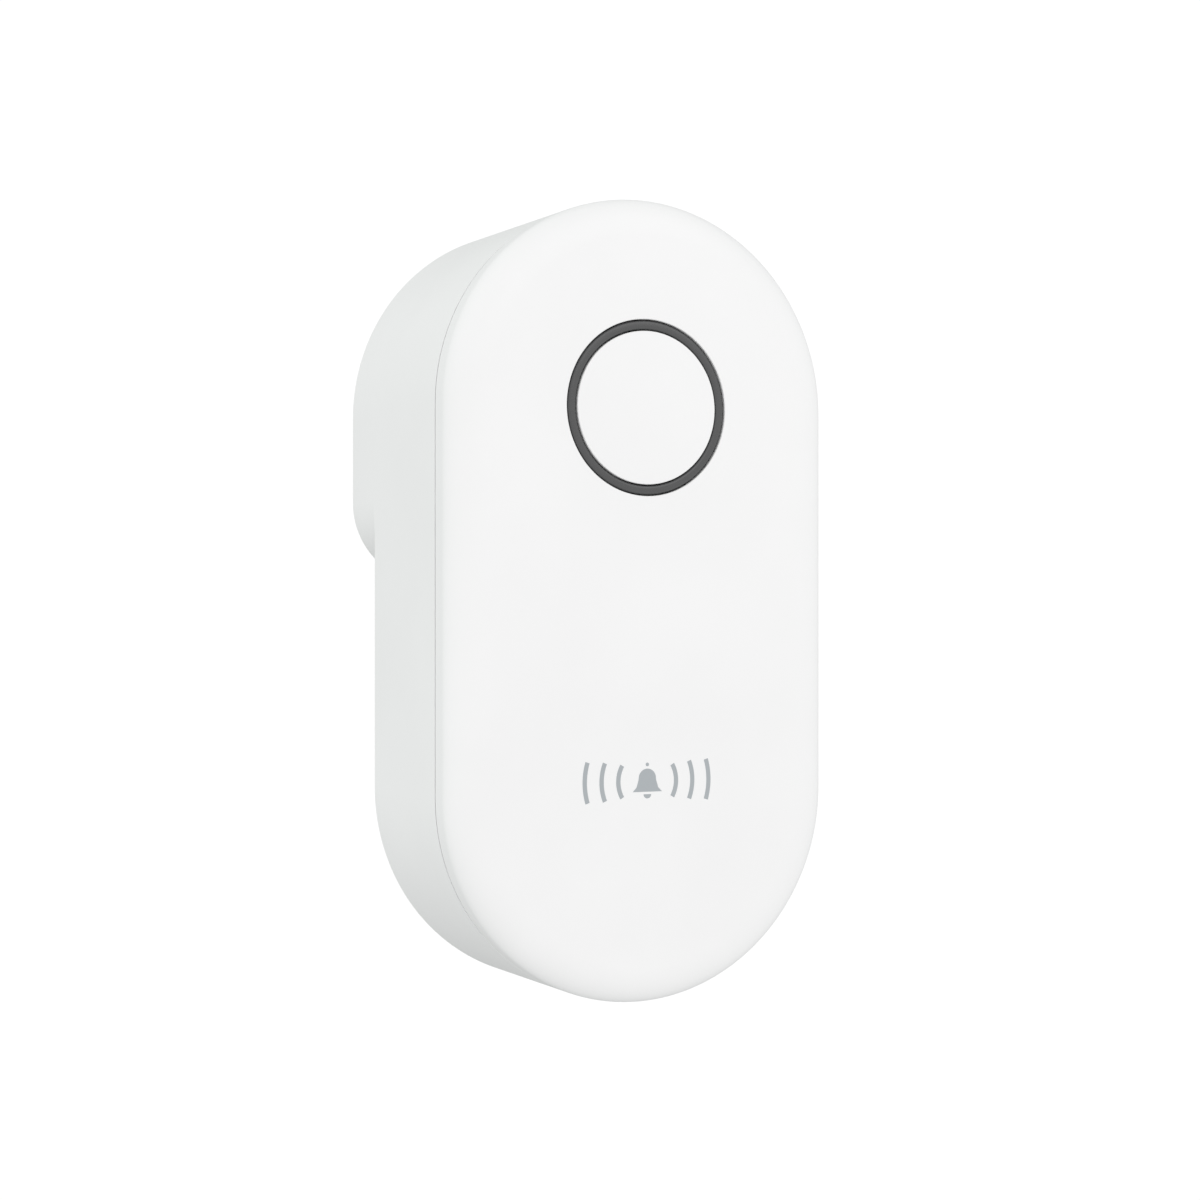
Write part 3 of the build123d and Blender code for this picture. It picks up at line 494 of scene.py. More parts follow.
def make_rear_housing():
    skin = Skin()
    upper = len(upper_path(pill_r))
    rounds = quarter(ROUND_STEPS)
    land = skin.loop(pill(pill_r - wall), seam_y + seam_undercut)
    loops = [land, skin.loop(pill(pill_r - seam_land), seam_y + seam_undercut)]
    for along, across in rounds:
        r = pill_r - seam_edge * (1 - along)
        loops.append(skin.loop(pill(r), seam_y + seam_edge * across))

    # The ledge's rounded edge dies out where the block's corner leaves the side.
    low_path = lower_path(pill_r)
    block_low_path = block_path(0)
    ledge_round = []
    for x, z in low_path:
        below = min(corner_z - z, block_corner)
        room = block_corner - (block_corner ** 2 - below ** 2) ** 0.5
        ledge_round.append(min(back_edge, LEDGE_SHARE * room))
    depths = [back_y] * upper + [back_y - r for r in ledge_round]
    side = skin.loop(pill(pill_r), depths)
    loops.append(side)
    skin.strips(loops)

    # upper side wall and the block's own wall
    block_base = side[:upper] + skin.loop(block_low_path, back_y)
    block_loops = [block_base]
    for along, across in rounds:
        outline = block_outline(back_edge * across)
        block_loops.append(skin.loop(outline, block_y - back_edge * (1 - along)))
    skin.strips(block_loops)

    # the ledge's rounded edge
    ends = [side[upper - 1]] + side[upper:] + [side[0]]
    rows = [ends]
    for along, across in rounds[1:]:
        row = []
        for (x, z), r in zip(low_path, ledge_round):
            cz = min(max(z, low_z), corner_z)
            reach = hypot(x, z - cz)
            share = (reach - r * across) / reach
            row.append((x * share, cz + (z - cz) * share, back_y - r * (1 - along)))
        first = len(skin.points)
        skin.points += [(x, y, z) for x, z, y in row]
        rows.append([ends[0]] + list(range(first, len(skin.points))) + [ends[-1]])
    skin.strips(rows, closed=False)

    # ledge face with the grille and the screw recesses
    ledge_holes, inner_holes = [], []
    for x, z in grille_places():
        outside_loop, inside_loop = drilled(skin, x, z, grille_hole_r, grille_edge, back_y, wall_y)
        ledge_holes.append(outside_loop)
        inner_holes.append(inside_loop)
    for x, z in case_screws:
        mouth, column = make_screw_column(skin, x, z)
        ledge_holes.append(mouth)
        inner_holes.append(column)
    ledge = rows[-1][1:-1] + [ends[-1]] + block_base[upper:][::-1] + [ends[0]]
    skin.fill(ledge, ledge_holes)

    # rear face of the block, with a slot round each blade
    slots = []
    for side_x in (-1, 1):
        x = side_x * (blade_lo.x + blade_hi.x) / 2
        w = blade_hi.x - blade_lo.x + 2 * slot_gap
        h = blade_width + 2 * slot_gap
        rows_here = []
        for along, across in quarter(MOUTH_STEPS):
            grow = 2 * slot_edge * (1 - along)
            outline = rounded_box(x, 0, w + grow, h + grow, slot_corner + grow / 2)
            rows_here.append(skin.loop(outline, block_y - slot_edge * across))
        rows_here.append(skin.loop(rounded_box(x, 0, w, h, slot_corner), block_y - block_wall))
        skin.strips(rows_here)
        slots.append(rows_here)
    skin.fill(block_loops[-1], [s[0] for s in slots])

    # inside: walls, lower floor and the block's pocket
    inside_wall = pill(pill_r - wall)
    pockets = with_catches(inside_wall, catch_reach - catch_room, catch_span + POCKET_SPARE)
    pocket_y = catch_y - catch_gap
    pocket_end_y = catch_y + catch_length + catch_gap
    inner_side = skin.loop(inside_wall, wall_y)
    steps = (
        (inside_wall, pocket_y), (pockets, pocket_y),
        (pockets, pocket_end_y), (inside_wall, pocket_end_y),
    )
    skin.strips([land] + [skin.loop(*step) for step in steps] + [inner_side])
    pocket_low = skin.loop(block_path(wall), wall_y)
    pocket = inner_side[:upper] + pocket_low
    pocket_end = skin.loop(block_outline(wall), block_y - block_wall)
    skin.strip(pocket, pocket_end)
    skin.fill(pocket_end, [s[-1] for s in slots])
    floor_edge = inner_side[upper:] + [inner_side[0]] + pocket_low[::-1] + [inner_side[upper - 1]]
    skin.fill(floor_edge, inner_holes)

    # speaker collar and posts, power board posts
    collar_r = speaker_hi.x + collar_gap
    collar_y = wall_y - collar_height
    tube(skin, 0, speaker_z, collar_r + collar_wall, collar_r, collar_y, wall_y + sink, COLLAR_STEPS)
    for x, z in speaker_screws:
        tube(skin, x, z, speaker_post_r, board_pilot_r, speaker_hi.y, wall_y + sink)
    for x, z in power_screws:
        tube(skin, x, z, board_boss_r, board_pilot_r, power_board_y, block_y - block_wall + sink)
    return skin.piece("rear_housing_shell")


def make_button():
    rounds = quarter(6)
    profile = [(0.0, front_y)]
    for along, across in rounds:
        profile.append((button_r - ring_edge * (1 - along), front_y + ring_edge * across))
    face_back = front_y + button_face
    skirt_r = button_r - button_skirt
    collar_y = button_hi.y - button_collar
    profile += [
        (button_r, collar_y), (button_hi.x, collar_y), (button_hi.x, button_hi.y),
        (skirt_r, button_hi.y), (skirt_r, face_back), (button_stem_r, face_back),
        (button_stem_r, stem_end), (0.0, stem_end),
    ]
    skin = Skin()
    spin(skin, profile)
    reach = button_r - rib_inset
    rib_end = face_back + rib_share * (stem_end - face_back)
    for w, h in ((reach, button_rib), (button_rib, reach)):
        plate(skin, [(w, h), (-w, h), (-w, -h), (w, -h)], face_back - sink, rib_end)
    return skin.piece("button_cap_shell")


def make_light_ring():
    outer = ring_bore_r - ring_gap
    inner = button_r + ring_gap
    rounds = quarter(6)
    profile = [(inner, ring_hi.y), (inner, ring_lo.y + lens_edge)]
    for along, across in rounds[1:]:
        profile.append((inner + lens_edge * across, ring_lo.y + lens_edge * (1 - along)))
    for along, across in rounds:
        profile.append((outer - lens_edge * (1 - along), ring_lo.y + lens_edge * across))
    profile += [(outer, cover_y), (ring_hi.x, cover_y), (ring_hi.x, ring_hi.y)]
    skin = Skin()
    spin(skin, profile)
    return skin.piece("light_ring_lens")


# ================================================================ plug blades
def moved_in(points, inset):
    """A closed outline with every side moved inwards by inset. The outline runs anticlockwise."""
    count = len(points)
    moved = []
    for n in range(count):
        a, b, c = points[n - 1], points[n], points[(n + 1) % count]
        first = Vector((b[0] - a[0], b[1] - a[1])).normalized()
        second = Vector((c[0] - b[0], c[1] - b[1])).normalized()
        n1 = Vector((-first.y, first.x))
        n2 = Vector((-second.y, second.x))
        middle = (n1 + n2).normalized()
        reach = inset / max(0.3, middle.dot(n1))
        moved.append((b[0] + middle.x * reach, b[1] + middle.y * reach))
    return moved


def make_blade(name, side):
    """Stamped blade with rolled edges, a coined tip and a drilled hole."""
    half = blade_width / 2
    tip = blade_hi.y
    neck = block_y - block_wall
    tail_end = blade_lo.y
    shoulder_end = neck - shoulder_depth
    outline = [(-blade_tail, tail_end), (blade_tail, tail_end), (blade_tail, shoulder_end)]
    outline += [(blade_shoulder, shoulder_end), (blade_shoulder, neck), (half, neck)]
    outline += [(half, neck + (tip - blade_taper - neck) * n / 12) for n in range(1, 13)]
    for n in range(1, 7):
        a = radians(15 * n)
        reach = half - blade_corner * (1 - cos(a))
        outline.append((reach, tip - blade_taper + blade_taper * sin(a)))
    outline += [(-z, y) for z, y in reversed(outline)][:-2]
    centre = side * (blade_lo.x + blade_hi.x) / 2
    thick = (blade_hi.x - blade_lo.x) / 2

    def placed(y, across):
        """across runs from 0 in the middle plane to 1 on a flat face."""
        lean = min(max((y - (tip - blade_taper)) / blade_taper, 0.0), 1.0)
        return centre + across * thick * (1 - blade_thinning * lean * lean)

    skin = Skin()
    hole = circle(0, blade_hole_y, blade_hole_r, HOLE_STEPS)

    def rows(points, inset_sign):
        made = []
        for face in (-1, 1):
            row_set = []
            for n in range(ROUND_STEPS):
                a = pi / 2 * n / (ROUND_STEPS - 1)
                moved = moved_in(points, inset_sign * blade_roll * (1 - cos(a)))
                share = 1 - blade_roll / thick * (1 - sin(a))
                first = len(skin.points)
                skin.points += [(placed(y, face * share), y, z) for z, y in moved]
                row_set.append(list(range(first, len(skin.points))))
            made.append(row_set)
        skin.strip(made[0][0], made[1][0])
        for row_set in made:
            skin.strips(row_set)
        return made[0][-1], made[1][-1]

    outer_faces = rows(outline, 1)
    hole_faces = rows(hole, -1)
    for outer, inner in zip(outer_faces, hole_faces):
        side_fill(skin, outer, inner)
    return skin.piece(name, 40)


def side_fill(skin, outer, hole):
    """Face that lies across X, between an outline and one hole, with an edge between mirrored points."""
    held = skin.points
    skin.points = [(z, x, y) for x, y, z in held]
    count = len(outer)
    across = [(outer[n], outer[(1 - n) % count]) for n in range(6, count // 2 + 1)]
    clear = blade_hole_r + hole_margin
    keep = [(a, b) for a, b in across if abs(held[a][1] - blade_hole_y) > clear]
    skin.fill(outer, [hole], keep)
    skin.points = held


# ================================================================ snap dome and loudspeaker surround, which bend in the real part
def make_dome():
    """Snap dome under the plunger: a thin spherical cap standing on its rim."""
    rise = dome_hi.y - dome_lo.y - dome_thickness
    r = dome_hi.x
    sphere_r = (r * r + rise * rise) / (2 * rise)
    centre_y = dome_lo.y + sphere_r
    front = []
    for n in range(DOME_STEPS + 1):
        reach = r * n / DOME_STEPS
        front.append((reach, centre_y - (sphere_r ** 2 - reach ** 2) ** 0.5))
    back = [(reach, y + dome_thickness) for reach, y in reversed(front)]
    skin = Skin()
    spin(skin, front + back, 48)
    return skin.piece("switch_dome_sheet")


def make_surround(sector):
    """One sector of the half roll between the cone's rim and the loudspeaker's flange."""
    rear_y = cone_hi.y
    roll = rear_y - surround_lo.y
    thickness = surround_hi.y - rear_y
    middle = cone_hi.x + roll
    front = [(cone_hi.x - surround_land, rear_y)]
    back = [(cone_hi.x - surround_land, surround_hi.y)]
    for n in range(ROLL_STEPS + 1):
        a = pi * n / ROLL_STEPS
        front.append((middle - roll * cos(a), rear_y - roll * sin(a)))
        back.append((middle - (roll - thickness) * cos(a), surround_hi.y - roll * sin(a)))
    front.append((surround_hi.x, rear_y))
    back.append((surround_hi.x, surround_hi.y))
    profile = front + back[::-1]
    skin = Skin()
    loops = []
    for n in range(SECTOR_STEPS + 1):
        a = 2 * pi * (sector + n / SECTOR_STEPS) / SECTORS
        outline = [(r * cos(a), speaker_z + r * sin(a)) for r, _ in profile]
        loops.append(skin.loop(outline, [y for _, y in profile]))
    skin.strips(loops)
    count = len(front)
    for end in (loops[0], loops[-1]):
        for n in range(count - 1):
            skin.faces.append([end[n], end[n + 1], end[-2 - n], end[-1 - n]])
    piece = skin.piece(f"surround_sector_{sector + 1}")
    a = 2 * pi * (sector + 0.5) / SECTORS
    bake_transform(piece)
    return piece


# ================================================================ printed mark
def arc_band(x, z, r, width, start, end, steps=24):
    outer = arc(x, z, r + width / 2, start, end, steps)
    inner = arc(x, z, r - width / 2, end, start, steps)
    return outer + inner


def make_mark():
    """A small generic bell between sound arcs, printed low on the cover. The bell's outline is given
    as shares of its height, and its half width as a share of that."""
    skin = Skin()
    x, z = 0.0, low_z + 1.7 * MM
    y0 = front_y - mark_proud
    y1 = front_y + mark_proud
    height = 4.6 * MM
    half = height * 0.40
    body = [(half * 1.15, -0.30), (half * 0.86, -0.18), (half * 0.70, 0.02)]
    right = [(px, z + pz * height) for px, pz in body]
    dome = arc(x, z + 0.08 * height, half * 0.68, 0, 180, 28)
    left = [(-px, pz) for px, pz in reversed(right)]
    plate(skin, right + dome + left, y0, y1)
    plate(skin, circle(x, z + 0.47 * height, 0.24 * MM, 24), y0, y1)
    clapper = arc(x, z - 0.37 * height, 0.55 * MM, 180, 360, 20)
    plate(skin, clapper, y0, y1)
    for n, r in enumerate((4.2 * MM, 6.6 * MM, 9.0 * MM)):
        reach = (30, 22, 17)[n]
        for middle in (0, 180):
            band = arc_band(x, z, r, 0.62 * MM, middle - reach, middle + reach)
            plate(skin, band, y0, y1)
    return skin.piece("bell_mark")


# ================================================================ materials
def new_material(name):
    mat = bpy.data.materials.new(name)
    mat.use_nodes = True
    nodes = mat.node_tree.nodes
    shader = nodes["Principled BSDF"]
    return mat, mat.node_tree, shader


def noise(tree, scale, detail=3.0, rough=0.5, stretch=(1, 1, 1)):
    place = tree.nodes.new("ShaderNodeTexCoord")
    mapping = tree.nodes.new("ShaderNodeMapping")
    mapping.inputs["Scale"].default_value = stretch
    tree.links.new(place.outputs["Object"], mapping.inputs["Vector"])
    texture = tree.nodes.new("ShaderNodeTexNoise")
    texture.inputs["Scale"].default_value = scale
    texture.inputs["Detail"].default_value = detail
    texture.inputs["Roughness"].default_value = rough
    tree.links.new(mapping.outputs["Vector"], texture.inputs["Vector"])
    return texture.outputs["Fac"]


def spread(tree, source, low, high, start=0.3, end=0.7):
    """Maps a texture's middle range on to low and high."""
    node = tree.nodes.new("ShaderNodeMapRange")
    node.inputs["From Min"].default_value = start
    node.inputs["From Max"].default_value = end
    node.inputs["To Min"].default_value = low
    node.inputs["To Max"].default_value = high
    tree.links.new(source, node.inputs["Value"])
    return node.outputs["Result"]


def tinted(tree, source, dark, light, start=0.3, end=0.7):
    """Colour between dark and light as a texture runs from start to end."""
    node = tree.nodes.new("ShaderNodeMix")
    node.data_type = "RGBA"
    node.inputs["A"].default_value = (*dark, 1)
    node.inputs["B"].default_value = (*light, 1)
    tree.links.new(spread(tree, source, 0, 1, start, end), node.inputs["Factor"])
    return node.outputs["Result"]


def bumped(tree, shader, source, depth):
    node = tree.nodes.new("ShaderNodeBump")
    node.inputs["Strength"].default_value = 1.0
    node.inputs["Distance"].default_value = depth
    tree.links.new(source, node.inputs["Height"])
    tree.links.new(node.outputs["Normal"], shader.inputs["Normal"])


def scaled(colour, share):
    return tuple(c * share for c in colour)


def moulded(name, colour, rough=0.45, grain=0.16 * MM, depth=0.004 * MM, vary=0.015, ior=1.5):
    """Moulded plastic: fine spark-eroded grain, faint flow clouds in colour and gloss."""
    mat, tree, shader = new_material(name)
    shader.inputs["IOR"].default_value = ior
    clouds = noise(tree, 60, 3)
    fine = noise(tree, 1 / grain, 2)
    colours = tinted(tree, clouds, scaled(colour, 1 - vary), scaled(colour, 1 + vary * 0.3))
    tree.links.new(colours, shader.inputs["Base Color"])
    tree.links.new(spread(tree, fine, rough - 0.05, rough + 0.05), shader.inputs["Roughness"])
    bumped(tree, shader, fine, depth)
    return mat


def metal(name, colour, rough=0.3, stretch=(1, 30, 1), depth=0.002 * MM, vary=0.06):
    """Drawn or plated metal with fine lines along one direction."""
    mat, tree, shader = new_material(name)
    shader.inputs["Metallic"].default_value = 1.0
    lines = noise(tree, 900, 4, 0.6, stretch)
    clouds = noise(tree, 350, 3)
    tree.links.new(tinted(tree, clouds, scaled(colour, 1 - vary), colour), shader.inputs["Base Color"])
    tree.links.new(spread(tree, lines, rough - 0.08, rough + 0.12), shader.inputs["Roughness"])
    bumped(tree, shader, lines, depth)
    return mat


def wave(tree, pitch, direction):
    """Even bands across one direction, as of a weave, a winding or drawn layers."""
    place = tree.nodes.new("ShaderNodeTexCoord")
    texture = tree.nodes.new("ShaderNodeTexWave")
    texture.bands_direction = direction
    texture.inputs["Scale"].default_value = WAVE_PITCH / pitch
    tree.links.new(place.outputs["Object"], texture.inputs["Vector"])
    return texture.outputs["Fac"]


def cells(tree, scale):
    place = tree.nodes.new("ShaderNodeTexCoord")
    texture = tree.nodes.new("ShaderNodeTexVoronoi")
    texture.inputs["Scale"].default_value = scale
    tree.links.new(place.outputs["Object"], texture.inputs["Vector"])
    return texture.outputs["Distance"]


def crossed(tree, a, b, operation="MULTIPLY"):
    node = tree.nodes.new("ShaderNodeMath")
    node.operation = operation
    tree.links.new(a, node.inputs[0])
    tree.links.new(b, node.inputs[1])
    return node.outputs["Value"]


def banded(name, colour, pitch, direction, rough=0.4, metallic=0.0, depth=0.02 * MM):
    """Wound wire or tape: bands of one pitch, with a groove between them."""
    mat, tree, shader = new_material(name)
    shader.inputs["Metallic"].default_value = metallic
    bands = wave(tree, pitch, direction)
    tree.links.new(tinted(tree, bands, scaled(colour, 0.6), colour, 0.0, 0.6), shader.inputs["Base Color"])
    tree.links.new(spread(tree, noise(tree, 900), rough - 0.08, rough + 0.1), shader.inputs["Roughness"])
    bumped(tree, shader, bands, depth)
    return mat


def woven(name, colour, pitch, rough=0.8, depth=0.05 * MM, shine=0.3):
    """Cloth or glass weave from two crossed sets of threads."""
    mat, tree, shader = new_material(name)
    shader.inputs["Specular IOR Level"].default_value = shine
    threads = crossed(tree, wave(tree, pitch, "X"), wave(tree, pitch, "Z"), "MAXIMUM")
    colours = tinted(tree, threads, scaled(colour, 0.45), colour, 0.2, 0.9)
    tree.links.new(colours, shader.inputs["Base Color"])
    tree.links.new(spread(tree, noise(tree, 1500), rough - 0.1, rough + 0.1), shader.inputs["Roughness"])
    bumped(tree, shader, threads, depth)
    return mat


def laminate(name, colour, rough=0.35):
    """Circuit board: solder mask over a faint glass weave, with runs of parallel tracks under it."""
    mat, tree, shader = new_material(name)
    weave = crossed(tree, wave(tree, GLASS_PITCH, "X"), wave(tree, GLASS_PITCH, "Z"))
    place = tree.nodes.new("ShaderNodeTexCoord")
    patches = tree.nodes.new("ShaderNodeTexVoronoi")
    patches.distance = "CHEBYCHEV"
    patches.inputs["Scale"].default_value = 1 / TRACK_PATCH
    parts = tree.nodes.new("ShaderNodeSeparateColor")
    upright = tree.nodes.new("ShaderNodeMath")
    upright.operation = "GREATER_THAN"
    shown = tree.nodes.new("ShaderNodeMath")
    shown.operation = "GREATER_THAN"
    shown.inputs[1].default_value = BARE_SHARE
    tree.links.new(place.outputs["Object"], patches.inputs["Vector"])
    tree.links.new(patches.outputs["Color"], parts.inputs["Color"])
    tree.links.new(parts.outputs["Red"], upright.inputs[0])
    tree.links.new(parts.outputs["Green"], shown.inputs[0])
    level = crossed(tree, wave(tree, TRACK_PITCH, "Z"), upright.outputs["Value"])
    flipped = tree.nodes.new("ShaderNodeMath")
    flipped.operation = "SUBTRACT"
    flipped.inputs[0].default_value = 1.0
    tree.links.new(upright.outputs["Value"], flipped.inputs[1])
    standing = crossed(tree, wave(tree, TRACK_PITCH, "X"), flipped.outputs["Value"])
    tracks = crossed(tree, crossed(tree, level, standing, "ADD"), shown.outputs["Value"])
    colours = tinted(tree, tracks, colour, scaled(colour, 1.45), 0.7, 0.85)
    tree.links.new(colours, shader.inputs["Base Color"])
    tree.links.new(spread(tree, weave, rough - 0.05, rough + 0.1, 0, 1), shader.inputs["Roughness"])
    bumped(tree, shader, tracks, 0.02 * MM)
    return mat


def granular(name, colour, grain, rough=0.7, depth=0.02 * MM, vary=0.35):
    """Sintered, foamed or pressed stuff: visible grains in colour and relief."""
    mat, tree, shader = new_material(name)
    grains = cells(tree, 1 / grain)
    colours = tinted(tree, grains, colour, scaled(colour, 1 - vary), 0, 0.9)
    tree.links.new(colours, shader.inputs["Base Color"])
    tree.links.new(spread(tree, noise(tree, 700), rough - 0.08, rough + 0.08), shader.inputs["Roughness"])
    bumped(tree, shader, grains, depth)
    return mat


# ================================================================ studio
# Light from every direction (x, y, z): a constant, a slope and a curvature, which is
# (x*x, y*y, z*z, x*y, x*z, y*z). It is strongest from the left, weakest from behind and below.
# The values come from a least squares fit to the brightness of the object's faces in the photo.
SKY_LEVEL = 0.856
SKY_SLOPE = (-0.108, -0.256, 0.097)
SKY_CURVE = (0.162, -0.182, -0.180, -0.129, -0.221, 0.245)
SKY_FRONT = (1.009, 1.0, 1.0045, 1)
SKY_BACK = (0.955, 1.0, 0.9775, 1)


def make_world():
    """White surroundings: full white where the camera looks past the object, softly shaped light on it."""
    world = bpy.data.worlds.new("studio")
    bpy.context.scene.world = world
    world.use_nodes = True
    tree = world.node_tree
    tree.nodes.clear()
    place = tree.nodes.new("ShaderNodeTexCoord").outputs["Generated"]

    def dot(vector, constants):
        node = tree.nodes.new("ShaderNodeVectorMath")
        node.operation = "DOT_PRODUCT"
        tree.links.new(vector, node.inputs[0])
        node.inputs[1].default_value = constants
        return node

    def total(a, b):
        node = tree.nodes.new("ShaderNodeMath")
        tree.links.new(a, node.inputs[0])
        if isinstance(b, float):
            node.inputs[1].default_value = b
        else:
            tree.links.new(b, node.inputs[1])
        return node.outputs["Value"]

    xx, yy, zz, xy, xz, yz = SKY_CURVE
    rows = tree.nodes.new("ShaderNodeCombineXYZ")
    for n, row in enumerate(((xx, xy / 2, xz / 2), (xy / 2, yy, yz / 2), (xz / 2, yz / 2, zz))):
        tree.links.new(dot(place, row).outputs["Value"], rows.inputs[n])
    curve = dot(place, (0, 0, 0))
    tree.links.new(rows.outputs["Vector"], curve.inputs[1])
    slope = dot(place, SKY_SLOPE).outputs["Value"]
    light = total(total(curve.outputs["Value"], slope), SKY_LEVEL)

    tint = tree.nodes.new("ShaderNodeMix")
    tint.data_type = "RGBA"
    tint.inputs["A"].default_value = SKY_FRONT
    tint.inputs["B"].default_value = SKY_BACK
    tree.links.new(total(dot(place, (0, 0.5, 0)).outputs["Value"], 0.5), tint.inputs["Factor"])
    lit = tree.nodes.new("ShaderNodeBackground")
    tree.links.new(light, lit.inputs["Strength"])
    tree.links.new(tint.outputs["Result"], lit.inputs["Color"])
    seen = tree.nodes.new("ShaderNodeBackground")
    seen.inputs["Color"].default_value = (1, 1, 1, 1)
    seen.inputs["Strength"].default_value = WHITE_OUT
    rays = tree.nodes.new("ShaderNodeLightPath")
    mix = tree.nodes.new("ShaderNodeMixShader")
    output = tree.nodes.new("ShaderNodeOutputWorld")
    tree.links.new(rays.outputs["Is Camera Ray"], mix.inputs["Fac"])
    tree.links.new(lit.outputs["Background"], mix.inputs[1])
    tree.links.new(seen.outputs["Background"], mix.inputs[2])
    tree.links.new(mix.outputs["Shader"], output.inputs["Surface"])


def make_softbox():
    """Large soft light above the front, near enough to fade a little down the cover."""
    data = bpy.data.lights.new("softbox", "AREA")
    data.shape = "SQUARE"
    data.size = SOFTBOX_SIZE
    data.energy = SOFTBOX_POWER
    softbox = bpy.data.objects.new("softbox", data)
    bpy.context.scene.collection.objects.link(softbox)
    softbox.location = SOFTBOX_PLACE
    aim = Vector((0, front_y, (cover_lo.z + cover_hi.z) / 2)) - softbox.location
    softbox.rotation_euler = aim.to_track_quat("-Z", "Y").to_euler()


def make_floor():
    """White floor just under the object. It glows evenly, so it takes no shadow, and lights nothing."""
    z = cad_bounds[0][2] - FLOOR_GAP
    size = FLOOR_SIZE
    mesh = bpy.data.meshes.new("floor")
    corners = [(-size, -size, z), (size, -size, z), (size, size, z), (-size, size, z)]
    mesh.from_pydata(corners, [], [(0, 1, 2, 3)])
    floor = bpy.data.objects.new("floor", mesh)
    bpy.context.scene.collection.objects.link(floor)
    mat = bpy.data.materials.new("floor_white")
    mat.use_nodes = True
    tree = mat.node_tree
    tree.nodes.clear()
    glow = tree.nodes.new("ShaderNodeEmission")
    glow.inputs["Strength"].default_value = WHITE_OUT
    output = tree.nodes.new("ShaderNodeOutputMaterial")
    tree.links.new(glow.outputs["Emission"], output.inputs["Surface"])
    mesh.materials.append(mat)
    floor.visible_diffuse = False
    floor.visible_glossy = False
    floor.visible_transmission = False
    floor.visible_shadow = False


def make_camera():
    """Level camera to the left of the object, at its mid height."""
    yaw = 0.450
    distance = 314.98 * MM
    aside = -6.146 * MM
    raised = 0.111 * MM
    look = Vector((sin(yaw), cos(yaw), 0))
    right = Vector((cos(yaw), -sin(yaw), 0))
    middle = Vector((0, front_y, (cover_lo.z + cover_hi.z) / 2 + raised))
    data = bpy.data.cameras.new("camera")
    data.sensor_width = 36
    data.lens = 72.77
    data.clip_start = 0.01
    camera = bpy.data.objects.new("camera", data)
    bpy.context.scene.collection.objects.link(camera)
    camera.location = middle - look * distance + right * aside
    camera.rotation_euler = look.to_track_quat("-Z", "Y").to_euler()
    bpy.context.scene.camera = camera


# ================================================================ everything together
WHITE = (0.905, 0.905, 0.905)

make_camera()
make_world()
make_softbox()
make_floor()

STEEL = (0.62, 0.62, 0.60)
BLACK = (0.03, 0.03, 0.032)
IVORY = (0.80, 0.77, 0.68)

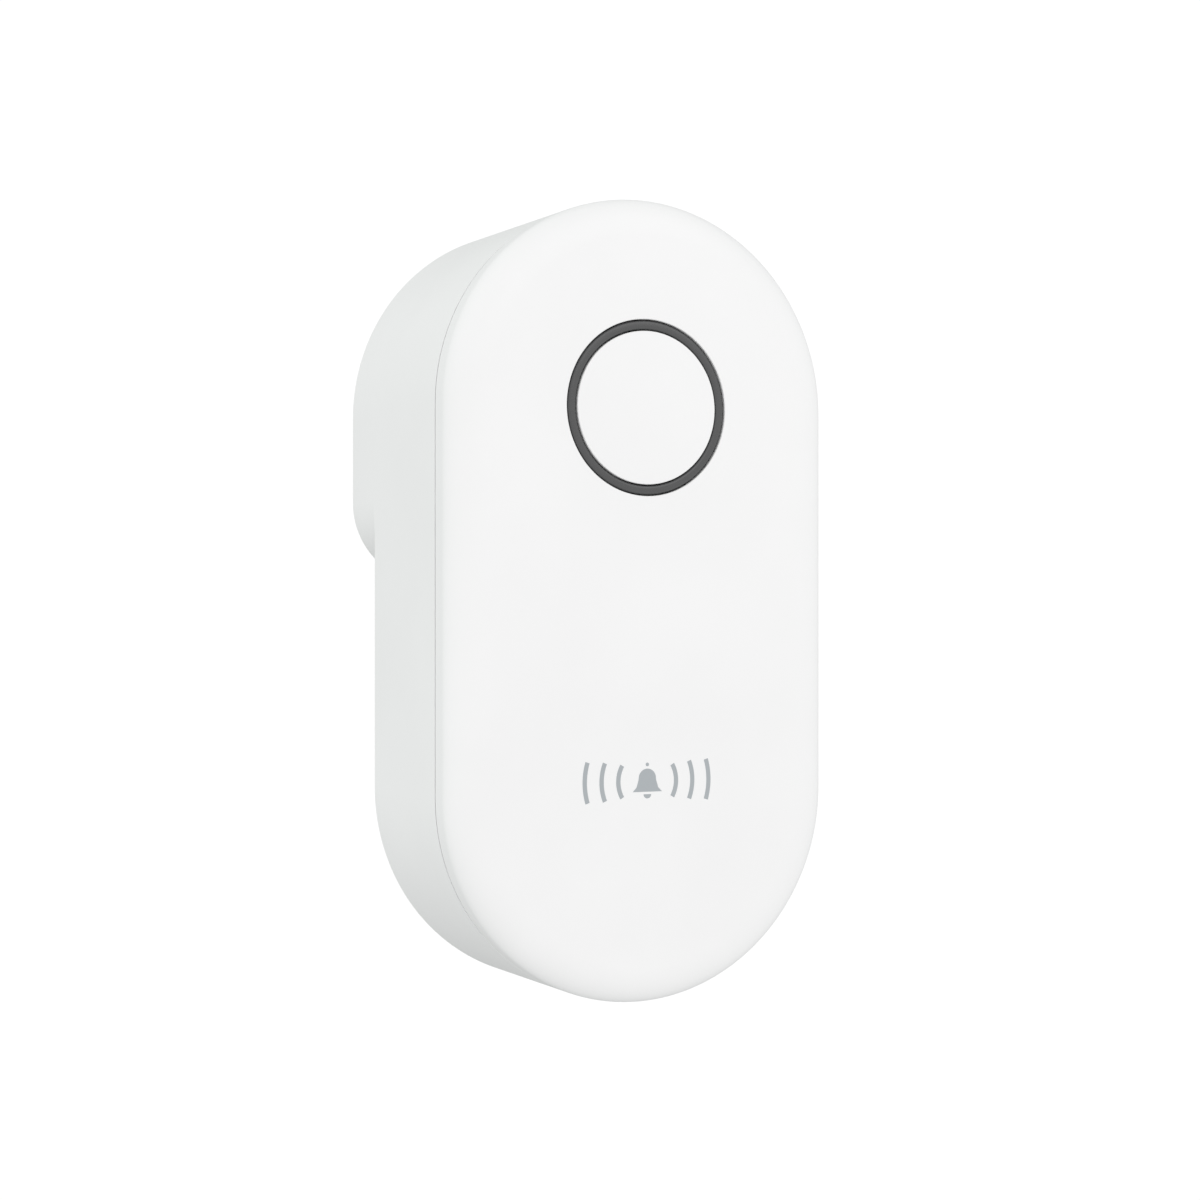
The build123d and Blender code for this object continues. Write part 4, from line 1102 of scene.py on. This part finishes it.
mark_ink = moulded("mark_grey", (0.41, 0.44, 0.46), 0.5)
looks = {
    "cover_plastic": moulded("cover_white", WHITE, 0.42),
    "button_plastic": moulded("button_white", WHITE, 0.42),
    "housing_plastic": moulded("housing_white", WHITE, 0.45),
    "ring_lens": moulded("ring_smoke", (0.021, 0.022, 0.023), 0.28, vary=0.05, ior=1.85),
    "blade_nickel": metal("blade_nickel", (0.72, 0.70, 0.66), 0.24),
    "shroud_plastic": moulded("shroud_white", (0.80, 0.80, 0.77), 0.6),
    "switch_plastic": moulded("switch_black", BLACK, 0.55),
    "plunger_plastic": moulded("plunger_ivory", IVORY, 0.5),
    "switch_steel": metal("switch_steel", STEEL, 0.32, (30, 1, 1)),
    "main_laminate": laminate("main_board_green", (0.012, 0.11, 0.05)),
    "power_laminate": laminate("power_board_tan", (0.48, 0.34, 0.15), 0.5),
    "screw_steel": metal("screw_zinc", (0.60, 0.61, 0.62), 0.3, (1, 8, 1)),
    "shield_tin": metal("shield_tin", (0.70, 0.70, 0.69), 0.34, (1, 1, 20)),
    "chip_resin": granular("chip_resin", BLACK, 0.08 * MM, 0.6, 0.004 * MM),
    "can_sleeve": moulded("can_sleeve", (0.025, 0.03, 0.05), 0.25, vary=0.1),
    "connector_plastic": moulded("connector_ivory", IVORY, 0.5),
    "socket_plastic": moulded("socket_black", BLACK, 0.5),
    "pin_metal": metal("pin_gold", (0.75, 0.56, 0.25), 0.25),
    "red_insulation": moulded("wire_red", (0.42, 0.02, 0.02), 0.38, vary=0.1),
    "black_insulation": moulded("wire_black", BLACK, 0.38, vary=0.1),
    "ferrite": granular("ferrite", (0.07, 0.07, 0.075), 0.25 * MM),
    "bobbin_plastic": moulded("bobbin_black", (0.05, 0.05, 0.05), 0.5),
    "winding_tape": banded("winding_tape", (0.68, 0.45, 0.05), 1.6 * MM, "Y"),
    "coil_copper": banded("coil_copper", (0.65, 0.28, 0.12), 0.15 * MM, "Y", 0.3, 1.0, 0.01 * MM),
    "resistor_coat": granular("resistor_coat", (0.10, 0.22, 0.17), 0.12 * MM, 0.5, 0.005 * MM),
    "varistor_coat": granular("varistor_coat", (0.03, 0.10, 0.32), 0.15 * MM, 0.4, 0.008 * MM),
    "capacitor_coat": granular("capacitor_coat", (0.03, 0.16, 0.42), 0.15 * MM, 0.4, 0.008 * MM),
    "insulation_film": granular("insulation_paper", (0.66, 0.62, 0.48), 0.6 * MM, 0.75, 0.01 * MM, 0.12),
    "carrier_plastic": moulded("carrier_white", (0.76, 0.76, 0.73), 0.5),
    "speaker_steel": metal("speaker_steel", (0.50, 0.50, 0.49), 0.38, (12, 1, 12)),
    "magnet_plating": metal("magnet_nickel", (0.70, 0.70, 0.68), 0.2, (4, 4, 4)),
    "terminal_laminate": laminate("terminal_tan", (0.36, 0.22, 0.08), 0.5),
    "cone_paper": granular("cone_paper", (0.035, 0.035, 0.035), 0.3 * MM, 0.8, 0.03 * MM),
    "surround_rubber": moulded("surround_rubber", (0.02, 0.02, 0.02), 0.6, vary=0.15),
    "gasket_foam": granular("gasket_foam", (0.045, 0.045, 0.045), 0.35 * MM, 0.9, 0.08 * MM),
    "mesh_cloth": woven("mesh_cloth", (0.035, 0.035, 0.037), 0.35 * MM),
    "lamp_resin": moulded("lamp_resin", (0.85, 0.80, 0.50), 0.3, vary=0.06),
}
for part in frame["record"]["subparts"]:
    materials = frame["nodes"][part["node"]].data.materials
    materials.clear()
    materials.append(looks[part["material_slot"]])


def dress(piece, body, slot, *nodes, mat=None):
    piece.data.materials.append(mat or looks[slot])
    if body:
        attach(piece, body)
    if nodes:
        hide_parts(*nodes)


dress(make_front_cover(), "housing", "cover_plastic", "front_cover")
dress(make_rear_housing(), "housing", "housing_plastic", "rear_housing")
dress(make_button(), "button", "button_plastic", "button_cap")
dress(make_light_ring(), "housing", "ring_lens", "light_ring")
dress(make_blade("blade_left", -1), "housing", "blade_nickel", "plug_blade_left")
dress(make_blade("blade_right", 1), "housing", "blade_nickel", "plug_blade_right")
dress(make_mark(), "housing", "cover_plastic", mat=mark_ink)

dome = make_dome()
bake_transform(dome)
dress(dome, None, "switch_steel", "switch_dome")
for sector in range(SECTORS):
    dress(make_surround(sector), None, "surround_rubber", "speaker_surround")

bpy.context.scene.view_settings.view_transform = "Standard"
